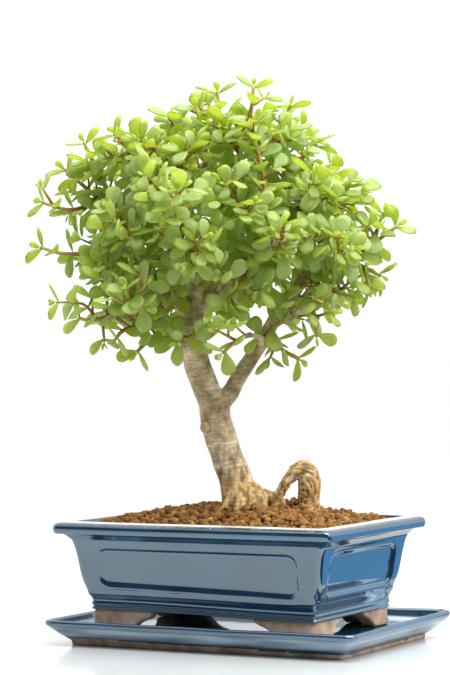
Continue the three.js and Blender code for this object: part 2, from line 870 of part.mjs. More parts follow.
function leafIsClear(frame) {
  const spots = testSpots.map((at) => leafPoint(frame, at));
  for (const limb of limbs) {
    for (const spot of spots) {
      if (distanceToSegment(spot, limb.start, limb.end) < limb.radius + 1.1) return false;
    }
  }
  for (const other of placed) {
    if (other.spot.distanceTo(frame.spot) > 40) continue;
    if (spots.some((spot) => touchesBlade(spot, other))) return false;
    if (testSpots.some((at) => touchesBlade(leafPoint(other, at), frame))) return false;
  }
  return true;
}

// The leaves of one stem: opposite pairs from its tip back. Pairs stand square to their neighbours,
// and every second pair is kept.
function stemLeaves(points, random, spin) {
  const length = lineLength(points);
  const frames = [];
  const pairs = Math.floor((length - 7) / twig.internode) + 1;
  for (let pair = 0; pair < pairs; pair += twig.pairStep) {
    const back = twig.tipBud + pair * twig.internode;
    const { spot, tangent, across } = along(points, Math.max(0, 1 - back / length));
    const turn = spin + pair * (Math.PI / 2);
    const size = pair === 0 ? 0.92 : 1.04;
    for (const flip of [0, Math.PI]) {
      const spread = (pair === 0 ? leaf.tipSpread : leaf.spread) + 0.3 * (random() - 0.5);
      const roll = 1.6 * (random() - 0.5);
      const long = leaf.length * size * (0.88 + 0.24 * random());
      for (const nudge of [0, 0.45, -0.45, 0.9, -0.9]) {
        const side = across.clone().applyAxisAngle(tangent, turn + flip + nudge);
        const frame = leafFrame(spot, tangent, side, spread, roll, long);
        if (leafIsClear(frame)) {
          placed.push(frame);
          frames.push(frame);
          break;
        }
      }
    }
  }
  return frames;
}

// A blunt egg-shaped blade, thick in the middle and thin at its edge, from a flattened sphere.
function leafGeometry(frame, grow) {
  const geometry = new THREE.SphereGeometry(1, 6, 2);
  const position = geometry.attributes.position;
  const whole = frame.length + leaf.root;
  for (let i = 0; i < position.count; i += 1) {
    const x = position.getX(i);
    const y = position.getY(i);
    const z = position.getZ(i);
    const rim = Math.hypot(x, z) > 0.5;
    const lengthwise = rim ? 0.5 + 0.5 * x : leaf.thickestAt;
    const taper = 0.84 + 0.6 * x;
    const sideways = rim ? z * taper * (frame.width / 2 + grow) : 0;
    const height = rim ? 0 : y * (leaf.thickness / 2 + grow);
    const droop = leaf.droop * frame.length * (0.3 - lengthwise * lengthwise);
    const spot = frame.spot.clone();
    spot.addScaledVector(frame.direction, lengthwise * (whole + grow) - leaf.root);
    spot.addScaledVector(frame.across, sideways);
    spot.addScaledVector(frame.facing, height + (rim ? droop : 0));
    position.setXYZ(i, spot.x, spot.y, spot.z);
  }
  return geometry;
}

function stemRadii(points, isMain) {
  const base = isMain ? twig.mainBase : twig.sideBase;
  const tip = isMain ? twig.mainTip : twig.sideTip;
  const last = points.length - 1;
  return points.map((_, i) => base + (tip - base) * (i / last));
}

// ---------------------------------------------------------------- soil

// The height of the granules: a low mound with lumps as wide as a few granules.
function soilHeight(x, y) {
  const edge = Math.max(Math.abs(x) / soil.halfLength, Math.abs(y) / soil.halfWidth);
  const mound = soil.edgeHeight + (soil.crownHeight - soil.edgeHeight) * (1 - edge ** 2);
  const lumps = Math.sin(x * 1.31 + y * 0.53) * Math.cos(y * 1.17 - x * 0.29);
  return mound + soil.granule * lumps;
}

function makeSoil(treeHole) {
  // [inset from the pot's rim, z], up the pot's inner wall with a small gap
  const profile = [
    [27, pot.floorTop + TOUCH_GAP],
    [23.3, 42],
    [17.3, 60],
    [13.1, 72.5],
    [12.3, 75],
    [10.9, 80],
    [10.9, soil.crownHeight + 8],
  ];
  const rings = profile.map(([inset, z]) => [
    pot.halfLength - inset,
    pot.halfWidth - inset,
    4,
    z,
  ]);
  rings.unshift([0, 0, 0, pot.floorTop + TOUCH_GAP]);
  rings.push([0, 0, 0, soil.crownHeight + 8]);
  const filling = solidFrom(rectangularTurning(rings));

  const depth = 60;
  const cover = new THREE.BoxGeometry(200, 150, depth, soil.cellsLong, soil.cellsWide, 1);
  const position = cover.attributes.position;
  for (let i = 0; i < position.count; i += 1) {
    const isLow = position.getZ(i) < 0;
    position.setZ(i, isLow ? soilHeight(position.getX(i), position.getY(i)) : soil.crownHeight + depth / 2);
  }
  let solid = filling.subtract(solidFrom(cover)).subtract(treeHole);
  for (const side of [-1, 1]) {
    const pocketSide = screen.side + 2 * TOUCH_GAP;
    const pocket = new THREE.BoxGeometry(pocketSide, pocketSide, 2 * screen.thickness + 1);
    pocket.translate(side * pot.holeX, 0, pot.floorTop + TOUCH_GAP);
    solid = solid.subtract(solidFrom(pocket));
  }
  return part('soil', largestBody(solid), granuleBrown);
}

// The hole that the trunk base and the roots leave in the soil, turned as the tree is.
function rootHole() {
  const tubes = [];
  for (const piece of [wood.trunk, ...Object.values(roots)]) {
    const geometry = tube(piece.points, piece.radii, piece.sides, 0, TWIG_GAP);
    geometry.rotateZ(TREE_TURN);
    tubes.push(solidFrom(geometry));
  }
  return wasm.Manifold.union(tubes);
}

// ---------------------------------------------------------------- the whole

function boxesMeet(a, b) {
  return [0, 1, 2].every((axis) => a.min[axis] <= b.max[axis] && b.min[axis] <= a.max[axis]);
}

// Each spray is cut back from the tree and from the sprays made before it, so that none touch.
function makeSprays() {
  const random = seededNumbers(SEED);
  const treeRoom = treeSolid(TWIG_GAP);
  const rooms = [];
  const meshes = [];
  for (const spray of sprays) {
    const pieces = [];
    const grown = [];
    spray.stems.forEach((points, k) => {
      const radii = stemRadii(points, k === 0);
      const spin = k === 0 ? 0 : 2 * Math.PI * random();
      const turn = spin + Math.PI / 4;
      pieces.push(solidFrom(tube(points, radii, twig.sides, turn)));
      grown.push(solidFrom(tube(points, radii, twig.sides, turn, TWIG_GAP)));
      for (const frame of stemLeaves(points, random, spin)) {
        pieces.push(solidFrom(leafGeometry(frame, 0)));
        grown.push(solidFrom(leafGeometry(frame, TWIG_GAP)));
      }
    });
    let solid = wasm.Manifold.union(pieces).subtract(treeRoom);
    const box = solid.boundingBox();
    for (const room of rooms) {
      if (boxesMeet(room.box, box)) solid = solid.subtract(room.solid);
    }
    const room = wasm.Manifold.union(grown);
    rooms.push({ solid: room, box: room.boundingBox() });
    meshes.push(part(`spray_${spray.name}`, largestBody(solid), leafGreen));
  }
  return meshes;
}

const potGroup = new THREE.Group();
potGroup.position.set(pot.centreX, pot.centreY, 0);
potGroup.add(makePot());
potGroup.add(makeScreen('drainage_screen_1', -pot.holeX));
potGroup.add(makeScreen('drainage_screen_2', pot.holeX));
potGroup.add(makeSoil(rootHole()));

const treeGroup = new THREE.Group();
treeGroup.position.copy(potGroup.position);
treeGroup.rotation.z = TREE_TURN;
treeGroup.add(part('tree', treeSolid(0), barkTan));
for (const spray of makeSprays()) treeGroup.add(spray);

const bonsai = new THREE.Group();
bonsai.add(makeSaucer());
bonsai.add(potGroup);
bonsai.add(treeGroup);

export default bonsai;
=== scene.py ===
# A dwarf jade bonsai in a glazed rectangular pot on a matching drip saucer.
# Lengths in the tables are millimetres; every mesh is turned to metres when its piece is made.

import math

import bmesh
import bpy
import numpy as np
from mathutils import Matrix, Vector, noise


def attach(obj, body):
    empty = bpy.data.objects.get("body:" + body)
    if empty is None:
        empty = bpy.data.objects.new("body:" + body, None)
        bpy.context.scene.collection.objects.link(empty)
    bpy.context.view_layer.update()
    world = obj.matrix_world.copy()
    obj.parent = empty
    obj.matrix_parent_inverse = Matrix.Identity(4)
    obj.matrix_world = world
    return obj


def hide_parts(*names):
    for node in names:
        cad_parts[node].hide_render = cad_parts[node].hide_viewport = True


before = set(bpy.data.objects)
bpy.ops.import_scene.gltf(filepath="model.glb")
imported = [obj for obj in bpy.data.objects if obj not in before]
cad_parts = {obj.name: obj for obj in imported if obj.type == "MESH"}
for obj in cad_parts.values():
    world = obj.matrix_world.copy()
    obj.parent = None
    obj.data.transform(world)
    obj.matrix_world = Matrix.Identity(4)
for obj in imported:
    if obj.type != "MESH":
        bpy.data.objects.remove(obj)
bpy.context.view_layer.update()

MM = 0.001
POT_CENTRE = Vector((-4.4, -2.2, 0.0))
TREE_TURN = 0.495
POT_PLACE = Matrix.Scale(MM, 4) @ Matrix.Translation(POT_CENTRE)
TREE_PLACE = POT_PLACE @ Matrix.Rotation(TREE_TURN, 4, "Z")
SAUCER_PLACE = Matrix.Scale(MM, 4)

# ------------------------------------------------------------------ camera

PIXELS_WIDE, PIXELS_HIGH = 450, 675
FOCAL_PIXELS = 2500.0


def make_camera():
    turn, pitch, roll = TREE_TURN, 0.003, 0.009
    ahead = Vector((-math.sin(turn), math.cos(turn), 0.0))
    right = Vector((math.cos(turn), math.sin(turn), 0.0))
    spot = POT_CENTRE - 1658.3 * ahead - 9.43 * right + Vector((0.0, 0.0, 196.3))
    view = ahead * math.cos(pitch) + Vector((0.0, 0.0, math.sin(pitch)))
    up = right.cross(view)
    across = math.cos(roll) * right - math.sin(roll) * up
    upward = math.sin(roll) * right + math.cos(roll) * up
    data = bpy.data.cameras.new("camera")
    data.sensor_width = 36.0
    data.lens = FOCAL_PIXELS / max(PIXELS_WIDE, PIXELS_HIGH) * data.sensor_width
    data.clip_start, data.clip_end = 0.05, 100.0
    camera = bpy.data.objects.new("camera", data)
    bpy.context.scene.collection.objects.link(camera)
    turned = Matrix((across, upward, -view)).transposed().to_4x4()
    camera.matrix_world = Matrix.Translation(spot * MM) @ turned
    bpy.context.scene.camera = camera


make_camera()

# ------------------------------------------------------------------ materials


def colour(code):
    """An sRGB hex colour as linear RGBA."""
    channels = [int(code[i : i + 2], 16) / 255 for i in (1, 3, 5)]
    return tuple(c / 12.92 if c <= 0.04045 else ((c + 0.055) / 1.055) ** 2.4 for c in channels) + (1.0,)


def add(tree, kind, inputs=None, stops=None, **settings):
    """Adds a node. inputs are values or sockets to link, stops the colours of a ramp."""
    node = tree.nodes.new(kind)
    for name, value in settings.items():
        setattr(node, name, value)
    for name, value in (inputs or {}).items():
        if isinstance(value, bpy.types.NodeSocket):
            tree.links.new(value, node.inputs[name])
        else:
            node.inputs[name].default_value = value
    if stops:
        ramp = node.color_ramp
        while len(ramp.elements) < len(stops):
            ramp.elements.new(0.5)
        for element, (place, code) in zip(ramp.elements, stops):
            element.position = place
            element.color = colour(code)
    return node


def new_material(name):
    material = bpy.data.materials.new(name)
    material.use_nodes = True
    tree = material.node_tree
    tree.nodes.clear()
    output = add(tree, "ShaderNodeOutputMaterial")
    shader = add(tree, "ShaderNodeBsdfPrincipled")
    tree.links.new(shader.outputs["BSDF"], output.inputs["Surface"])
    return material, tree, shader


def set_sockets(shader, **values):
    for name, value in values.items():
        shader.inputs[name.replace("_", " ")].default_value = value


def object_place(tree):
    return add(tree, "ShaderNodeTexCoord").outputs["Object"]


def attribute(tree, name):
    return add(tree, "ShaderNodeAttribute", attribute_name=name).outputs["Fac"]


def grain(tree, place, scale, detail=2.0, roughness=0.5):
    """Fractal noise; its largest lumps are about 1 / scale metres."""
    inputs = {"Vector": place, "Scale": scale, "Detail": detail, "Roughness": roughness}
    return add(tree, "ShaderNodeTexNoise", inputs).outputs["Fac"]


def ramp(tree, value, *stops):
    return add(tree, "ShaderNodeValToRGB", {"Fac": value}, stops=stops).outputs["Color"]


def blend(tree, amount, first, second, blend_type="MIX"):
    inputs = {0: amount, 6: first, 7: second}
    return add(tree, "ShaderNodeMix", inputs, data_type="RGBA", blend_type=blend_type).outputs[2]


def maths(tree, operation, *values):
    return add(tree, "ShaderNodeMath", dict(enumerate(values)), operation=operation).outputs["Value"]


def remap(tree, value, low, high, to_low=0.0, to_high=1.0):
    inputs = {"Value": value, "From Min": low, "From Max": high, "To Min": to_low, "To Max": to_high}
    return add(tree, "ShaderNodeMapRange", inputs).outputs["Result"]


def dress(tree, shader, base, height=None, strength=0.0, distance=0.0):
    """Gives the shader its colour and, with a height, a bump."""
    tree.links.new(base, shader.inputs["Base Color"])
    if height is not None:
        inputs = {"Height": height, "Strength": strength, "Distance": distance}
        bump = add(tree, "ShaderNodeBump", inputs)
        tree.links.new(bump.outputs["Normal"], shader.inputs["Normal"])


def glaze_material():
    """Cobalt-blue stoneware glaze, poured and fired: deep colour under a glassy skin. It turns milky
    where it ran down, painted paler there as a painted reflection of the lit table, and thins to brown and
    then cream on edges, the cream on the pot's lip top partly a painted highlight of the bright backdrop.
    Both marks come from vertex attributes."""
    material, tree, shader = new_material("cobalt_glaze")
    place = object_place(tree)
    cloud = grain(tree, place, 28.0, 3.0, 0.55)
    body = ramp(tree, cloud, (0.3, "#112e46"), (0.55, "#183a56"), (0.8, "#214868"))
    # Brown, then cream, where the glaze thins at edges and round a rust pinhole; the cream over the pot's
    # flat lip top is partly painted highlight, standing for the bright backdrop it mirrors.
    thin_glaze_and_highlight = attribute(tree, "thin_glaze_and_highlight")
    speck = grain(tree, place, 900.0, 2.0, 0.6)
    break_and_highlight = maths(tree, "MULTIPLY", thin_glaze_and_highlight, grain(tree, place, 160.0, 3.0, 0.7))
    thinness_and_highlight = maths(tree, "MULTIPLY_ADD", thin_glaze_and_highlight, 0.35, speck)
    bare_and_highlight = ramp(tree, thinness_and_highlight, (0.68, "#1d150f"), (0.84, "#4a3626"), (0.96, "#b9b4a8"), (1.0, "#e0dfd4"))
    # Pale blue-grey on the saucer's outer slope: partly milky glaze where it ran, partly painted reflection
    # of the lit table that the slope mirrors.
    run_and_reflection_colour = blend(tree, attribute(tree, "milky_and_reflection"), body, colour("#a9bdcc"))
    base = blend(tree, remap(tree, break_and_highlight, 0.3, 0.55), run_and_reflection_colour, bare_and_highlight)
    dress(tree, shader, base, grain(tree, place, 45.0, 1.0), 0.12, 0.0012)
    # A lead-bright surface that mirrors pale blue.
    shader.inputs["Specular Tint"].default_value = colour("#dff4ff")
    set_sockets(shader, Roughness=0.06, IOR=2.5)
    return material


def bare_clay_material():
    """Unglazed stoneware foot: matt, buff to pinkish brown, with a fine sandy grain."""
    material, tree, shader = new_material("unglazed_stoneware")
    place = object_place(tree)
    cloud = grain(tree, place, 60.0, 5.0, 0.65)
    body = ramp(tree, cloud, (0.3, "#8c6f56"), (0.5, "#bc9d84"), (0.75, "#dfcab4"))
    dress(tree, shader, body, grain(tree, place, 1400.0), 0.4, 0.0004)
    set_sockets(shader, Roughness=0.85, IOR=1.5)
    return material


def granule_material():
    """Akadama, baked clay granules: dusty orange-brown, each a little different (attribute tone)."""
    material, tree, shader = new_material("baked_clay_granules")
    place = object_place(tree)
    grit = grain(tree, place, 520.0, 3.0, 0.65)
    joined = maths(tree, "MULTIPLY_ADD", grit, 0.45, attribute(tree, "tone"))
    body = ramp(tree, joined, (0.12, "#3a2410"), (0.42, "#805628"), (0.7, "#9c6f36"), (1.0, "#bd9456"))
    dress(tree, shader, body, grain(tree, place, 1500.0), 0.5, 0.0004)
    set_sockets(shader, Roughness=0.95, IOR=1.45)
    return material


def bark_material():
    """Dwarf jade bark: papery and grey-tan, blotched and finely flecked. Near the soil it is golden and
    fleshy (attribute root). Attribute relief is painted shade, dark below 0 in cracks, splits and round the
    knot, and painted highlight, pale above 0 on raised strands and root lobes; it is pale on scars too."""
    material, tree, shader = new_material("dwarf_jade_bark")
    place = object_place(tree)
    patch = grain(tree, place, 80.0, 6.0, 0.68)
    old = ramp(tree, patch, (0.3, "#8a7352"), (0.44, "#c0a67e"), (0.56, "#e6cca6"), (0.7, "#f8e6cc"))
    base = ramp(tree, patch, (0.28, "#a8783c"), (0.46, "#d6ac68"), (0.6, "#eed096"), (0.78, "#f8e6c4"))
    mixed = blend(tree, attribute(tree, "root"), old, base)
    # Fine wrinkles, longer round the stem than up it.
    squeezed = add(tree, "ShaderNodeMapping", {"Vector": place, "Scale": (170.0, 170.0, 560.0)})
    fleck = grain(tree, squeezed.outputs["Vector"], 1.0, 3.0, 0.7)
    flecked = remap(tree, fleck, 0.35, 0.65, 0.7, 1.2)
    # Painted shade darkens cracks, splits and the groove round the knot; painted highlight lightens raised
    # strands and root lobes; scars are paler too.
    wear_and_relief_shade = remap(tree, attribute(tree, "relief"), -1.0, 1.0, 0.35, 1.65)
    shaded = blend(tree, 1.0, mixed, maths(tree, "MULTIPLY", flecked, wear_and_relief_shade), "MULTIPLY")
    dress(tree, shader, shaded, fleck, 0.6, 0.0008)
    set_sockets(shader, Roughness=0.7, IOR=1.45, Sheen_Weight=1.0, Sheen_Roughness=0.35)
    shader.inputs["Sheen Tint"].default_value = colour("#f2e4cc")
    return material


def leaf_material():
    """A fleshy water-storing leaf: pale waxy skin over tissue that shines lime green against the light.
    Attributes: tone, a chance for each leaf; young, towards the shoot's tip; rim, towards the edge."""
    material, tree, shader = new_material("fleshy_jade_leaf")
    tone = attribute(tree, "tone")
    grown = ramp(tree, tone, (0.0, "#4e7444"), (0.3, "#84a472"), (0.65, "#b4cca2"), (1.0, "#e0ead2"))
    fresh = blend(tree, attribute(tree, "young"), grown, colour("#c8d480"))
    edge = remap(tree, attribute(tree, "rim"), 0.75, 1.0, 0.0, 0.35)
    edged = blend(tree, edge, fresh, colour("#d0e0a0"))
    cell = grain(tree, object_place(tree), 240.0, 3.0, 0.6)
    mottled = blend(tree, 1.0, edged, remap(tree, cell, 0.3, 0.7, 0.84, 1.12), "MULTIPLY")
    dress(tree, shader, mottled, cell, 0.15, 0.0005)
    set_sockets(shader, Roughness=0.36, IOR=1.5)
    tissue = add(tree, "ShaderNodeBsdfTranslucent", {"Color": (0.88, 0.98, 0.17, 1.0)})
    inputs = {0: 0.55, 1: shader.outputs["BSDF"], 2: tissue.outputs["BSDF"]}
    joined = add(tree, "ShaderNodeMixShader", inputs)
    output = next(node for node in tree.nodes if node.type == "OUTPUT_MATERIAL")
    tree.links.new(joined.outputs["Shader"], output.inputs["Surface"])
    return material


def stem_material():
    """Young dwarf jade stem: smooth and fleshy, grey-brown where old, olive to yellow at the tip
    (attribute young)."""
    material, tree, shader = new_material("young_jade_stem")
    patch = grain(tree, object_place(tree), 150.0, 3.0)
    joined = maths(tree, "MULTIPLY_ADD", patch, 0.3, attribute(tree, "young"))
    body = ramp(tree, joined, (0.1, "#735a45"), (0.35, "#9a7448"), (0.65, "#bd9544"), (1.0, "#c6b650"))
    dress(tree, shader, body)
    set_sockets(shader, Roughness=0.45, IOR=1.45)
    return material


def screen_material():
    """Black polypropylene mesh, moulded: dull, with a slight sheen."""
    material, tree, shader = new_material("black_polypropylene")
    shade = ramp(tree, grain(tree, object_place(tree), 700.0), (0.3, "#18181a"), (0.7, "#29292b"))
    dress(tree, shader, shade)
    set_sockets(shader, Roughness=0.55)
    return material


glaze = glaze_material()
bare_clay = bare_clay_material()
granules = granule_material()
bark = bark_material()
leaf_skin = leaf_material()
stem_skin = stem_material()
screen_plastic = screen_material()

# ------------------------------------------------------------------ making pieces


def make_piece(name, bm, place, materials, slot, *nodes):
    """Turns a bmesh in millimetres into a piece in the row's frame that rides on the root body."""
    bm.transform(place)
    mesh = bpy.data.meshes.new(name)
    bm.to_mesh(mesh)
    bm.free()
    for material in materials:
        mesh.materials.append(material)
    for face in mesh.polygons:
        face.use_smooth = True
    piece = bpy.data.objects.new(name, mesh)
    bpy.context.scene.collection.objects.link(piece)
    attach(piece, "root")
    if nodes:
        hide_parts(*nodes)
    return piece


def smoothstep(low, high, value):
    """0 at low and 1 at high, smooth between; low may be the greater of the two."""
    t = min(1.0, max(0.0, (value - low) / (high - low)))
    return t * t * (3 - 2 * t)


def rectangle_point(half_length, half_width, radius, k, long_steps, short_steps, corner_steps):
    """Point k round a rectangle with round corners, anticlockwise from the middle of its +X end."""
    radius = min(radius, half_length, half_width)
    sides = [
        ("end", 1), ("corner", 0), ("front", 1), ("corner", 1), ("end", -1), ("corner", 2), ("front", -1),
        ("corner", 3),
    ]
    straight_y, straight_x = half_width - radius, half_length - radius
    for kind, turn in sides:
        steps = {"end": short_steps, "front": long_steps, "corner": corner_steps}[kind]
        if k >= steps:
            k -= steps
            continue
        t = k / steps
        if kind == "end":
            return turn * half_length, turn * straight_y * (2 * t - 1)
        if kind == "front":
            return turn * straight_x * (1 - 2 * t), turn * half_width
        angle = (turn + t) * math.pi / 2
        sign_x, sign_y = ((1, 1), (-1, 1), (-1, -1), (1, -1))[turn]
        return (
            sign_x * straight_x + radius * math.cos(angle),
            sign_y * straight_y + radius * math.sin(angle),
        )
    raise ValueError("k is past the end")


def wrapped_shell(rings, long_steps, short_steps, corner_steps):
    """A closed shell through rectangular rings (half length, half width, corner radius, z), from a grid
    that is wrapped round and closed. The first and last rings lie on the axis."""
    count = 2 * (long_steps + short_steps) + 4 * corner_steps
    bm = bmesh.new()
    bmesh.ops.create_grid(bm, x_segments=count, y_segments=len(rings) - 1, size=0.5)
    for vert in bm.verts:
        k = round((vert.co.x + 0.5) * count) % count
        half_length, half_width, radius, z = rings[round((vert.co.y + 0.5) * (len(rings) - 1))]
        x, y = rectangle_point(half_length, half_width, radius, k, long_steps, short_steps, corner_steps)
        vert.co = (x, y, z)
    bmesh.ops.remove_doubles(bm, verts=bm.verts, dist=1e-4)
    bmesh.ops.recalc_face_normals(bm, faces=bm.faces)
    return bm


def smooth_rows(rows, spacing, measured):
    """A smooth curve through rows of numbers, about a spacing apart in the measured first of them."""
    result = [rows[0]]
    for i in range(len(rows) - 1):
        before, a, b = rows[max(i - 1, 0)], rows[i], rows[i + 1]
        after = rows[min(i + 2, len(rows) - 1)]
        steps = max(1, round(float(np.linalg.norm((b - a)[:measured])) / spacing))
        for s in range(1, steps + 1):
            t = s / steps
            square, cube = t * t, t * t * t
            curved = 2 * a + (b - before) * t
            curved = curved + (2 * before - 5 * a + 4 * b - after) * square
            result.append(0.5 * (curved + (3 * a - 3 * b + after - before) * cube))
    return result


def smooth_profile(points, spacing):
    """Points of a smooth line through points whose first two numbers are lengths."""
    return smooth_rows([np.array(p, float) for p in points], spacing, 2)


# ------------------------------------------------------------------ saucer

SAUCER_HALF_LENGTH, SAUCER_HALF_WIDTH, SAUCER_FLOOR = 99.0, 64.5, 9.5
PINHOLE = (103.5, -78.0, 14.6)


def make_saucer():
    # (outward offset from the foot, z, corner radius), up the outside, over the rim and down inside
    outside = [
        (0, 0, 3), (0.3, 0.6, 3), (0.5, 2.6, 3), (1.5, 3.6, 3), (3.4, 4.8, 4), (7.6, 8.2, 5),
        (11.2, 11.3, 6),
        (12.4, 12.4, 6.5), (13.6, 13.4, 7), (14.1, 14.6, 7), (13.9, 15.8, 7), (13.2, 16.6, 7),
        (12.4, 16.8, 7),
        (11.4, 16.5, 7), (10.4, 15.8, 6), (6.6, 12.4, 5), (2.4, 10.2, 4), (-0.2, 9.6, 3.5),
        (-3, SAUCER_FLOOR, 3), (-12, SAUCER_FLOOR, 3),
    ]
    rings = [(0, 0, 0, 0.6), (SAUCER_HALF_LENGTH - 6, SAUCER_HALF_WIDTH - 6, 2, 0.6)]
    rings.append((SAUCER_HALF_LENGTH - 4, SAUCER_HALF_WIDTH - 4, 3, 0.0))
    for out, z, radius in smooth_profile(outside, 1.1):
        rings.append((SAUCER_HALF_LENGTH + out, SAUCER_HALF_WIDTH + out, radius, z))
    rings.append((0, 0, 0, SAUCER_FLOOR))
    bm = wrapped_shell(rings, 90, 60, 10)
    thin_glaze_and_highlight = bm.verts.layers.float.new("thin_glaze_and_highlight")
    milky_and_reflection = bm.verts.layers.float.new("milky_and_reflection")
    for vert in bm.verts:
        x, y, z = vert.co
        is_outer = abs(x) > SAUCER_HALF_LENGTH or abs(y) > SAUCER_HALF_WIDTH
        # Paler on the outer slope: partly a milky run of glaze, partly painted reflection of the lit table
        # below.
        run_and_reflection_amount = 0.75 + 0.7 * noise.noise(Vector((x * 0.03, y * 0.03, z * 0.25)))
        vert[milky_and_reflection] = max(0.0, run_and_reflection_amount) * smoothstep(4, 7, z) * smoothstep(13.2, 11.0, z) if is_outer else 0.0
        sag = noise.noise(Vector((x, y, 0.0)) * 0.03)
        lift = 1.3 * smoothstep(20, 105, x) * smoothstep(-130, 70, y)
        if z > 2:
            vert.co.z += (0.3 * sag + lift) * smoothstep(10, 16, z)
        pinhole = 1.0 - smoothstep(0.8, 1.7, math.dist((x, y, z), PINHOLE))
        vert[thin_glaze_and_highlight] = max(0.75 * pinhole, 0.62 * math.exp(-(((z - 16.2) / 0.35) ** 2)))
    for face in bm.faces:
        middle = face.calc_center_median()
        drip = 3.6 - 0.012 * middle.x + 1.0 * noise.noise(Vector((middle.x, middle.y, 3.0)) * 0.05)
        outer = abs(middle.x) > SAUCER_HALF_LENGTH - 8 or abs(middle.y) > SAUCER_HALF_WIDTH - 8
        face.material_index = 1 if middle.z < 0.7 or (outer and middle.z < drip) else 0
    make_piece("glazed_saucer", bm, SAUCER_PLACE, [glaze, bare_clay], "glaze", "saucer")


make_saucer()

# ------------------------------------------------------------------ pot

POT_HALF_LENGTH, POT_HALF_WIDTH = 101.4, 75.4
POT_BASE, POT_FLOOR = 23.2, 31.0
HOLE_RADIUS, HOLE_ACROSS = 9.0, 38.0
PANEL = {"low": 37.7, "high": 63.6, "half_length": 72.6, "half_width": 48.0, "corner": 6.5, "depth": 2.2}


def panel_depth(along_wall, z, half_length):
    """How far the sunk panel pushes the wall in. Its corners are round, and its lower edge slopes most."""
    middle, half_height = (PANEL["low"] + PANEL["high"]) / 2, (PANEL["high"] - PANEL["low"]) / 2
    across = abs(along_wall) - half_length + PANEL["corner"]
    upward = abs(z - middle) - half_height + PANEL["corner"]
    outside = math.hypot(max(across, 0), max(upward, 0)) + min(max(across, upward), 0) - PANEL["corner"]
    steep = 1.0 if upward > across else 0.0
    if across > 0 and upward > 0:
        steep = upward / (across + upward)
    slope = 1.0 + (1.6 * steep if z < middle else 0.0)
    bead = 0.3 * math.exp(-(((outside - slope - 1.0) / 1.1) ** 2))
    return PANEL["depth"] * (1 - smoothstep(-slope, slope, outside)) - bead


def make_pot():
    # (inset from the rim, z, corner radius), up the outside, over the lip and down inside
    outside = [
        (19.0, 23.3, 3), (18.6, 24.0, 3), (18.9, 24.7, 3), (19.3, 25.4, 3), (19.2, 26.2, 3),
        (18.6, 26.9, 3),
        (18.6, 27.5, 3), (19.0, 28.3, 3), (18.8, 30.0, 3.4), (17.9, 31.8, 3.8), (17.0, 33.0, 4),
        (16.6, 33.8, 4),
        (16.35, 35.0, 4.4), (16.0, 36.2, 4.4), (15.5, 37.8, 4.5), (14.8, 39.8, 4.5), (13.5, 44.8, 4.5),
        (12.6, 50.0, 4.5), (11.7, 56.2, 4.5), (10.8, 61.4, 4.5), (10.3, 64, 4.5), (9.8, 66, 4.5),
        (9.2, 67.9, 4.5), (8.8, 69.0, 4.5), (8.1, 69.9, 4.5), (7.1, 70.9, 4.5), (6.1, 71.9, 4.5),
        (5.2, 72.8, 4),
        (4.2, 73.3, 4), (2.8, 73.5, 4), (1.3, 73.5, 4), (0.75, 73.8, 4), (0.45, 74.4, 4), (0.25, 75.1, 4),
        (0.08, 75.9, 4), (0, 77.3, 4), (0.15, 78.4, 4), (0.7, 79.4, 4), (1.6, 80.1, 4), (2.8, 80.5, 4),
        (4.6, 80.9, 4),
        (8.4, 81.4, 4), (9.8, 81.4, 4), (10.6, 80.7, 4), (11.0, 79.2, 4), (11.3, 76.5, 4),
        (12.5, 72.5, 4),
        (14.8, 65.5, 4),
    ]
    rings = [(0, 0, 0, POT_BASE), (POT_HALF_LENGTH - 26, POT_HALF_WIDTH - 26, 3, POT_BASE)]
    rings.append((POT_HALF_LENGTH - 19.8, POT_HALF_WIDTH - 19.8, 3, POT_BASE))
    for inset, z, radius in smooth_profile(outside, 0.85):
        rings.append((POT_HALF_LENGTH - inset, POT_HALF_WIDTH - inset, radius, z))
    rings.append((POT_HALF_LENGTH - 26.5, POT_HALF_WIDTH - 26.5, 4, POT_FLOOR))
    rings.append((0, 0, 0, POT_FLOOR))
    bm = wrapped_shell(rings, 118, 84, 9)
    thin_glaze_and_highlight = bm.verts.layers.float.new("thin_glaze_and_highlight")
    for vert in bm.verts:
        x, y, z = vert.co
        wall_x, wall_y = POT_HALF_LENGTH - 22, POT_HALF_WIDTH - 22
        lean = (z - 32) * 0.16
        is_outside = 32 < z < 73 and (abs(x) > wall_x + lean or abs(y) > wall_y + lean)
        inset = min(POT_HALF_LENGTH - abs(x), POT_HALF_WIDTH - abs(y))
        # A thin brown line where the glaze wears at the lip's outer edge, and cream over the lip's flat top:
        # partly thinned glaze, partly painted highlight of the bright backdrop.
        wear_and_relief_shade = 1.05 * math.exp(-(((z - 80.0) / 0.6) ** 2)) * smoothstep(4, 2.5, inset)
        vert[thin_glaze_and_highlight] = max(wear_and_relief_shade, 1.7 * smoothstep(80.5, 80.9, z) * smoothstep(10.6, 10.0, inset))
        if is_outside:
            on_end = abs(x) - POT_HALF_LENGTH > abs(y) - POT_HALF_WIDTH
            if on_end:
                vert.co.x -= math.copysign(panel_depth(y, z, PANEL["half_width"]), x)
            else:
                sloped = z - (1.0 - 0.022 * x) * smoothstep(60, 40, z)
                vert.co.y -= math.copysign(panel_depth(x, sloped, PANEL["half_length"]), y)
        if inset < 24:
            vert.co.z -= 2.3 * smoothstep(-60, 80, x) * smoothstep(36, 29, z)
        wobble = 0.25 * noise.noise(Vector((x, y, z)) * 0.02)
        vert.co.z += wobble * smoothstep(60, 84, z)
    body = make_piece("glazed_pot", bm, POT_PLACE, [glaze], "glaze", "pot")
    cut_holes(body)


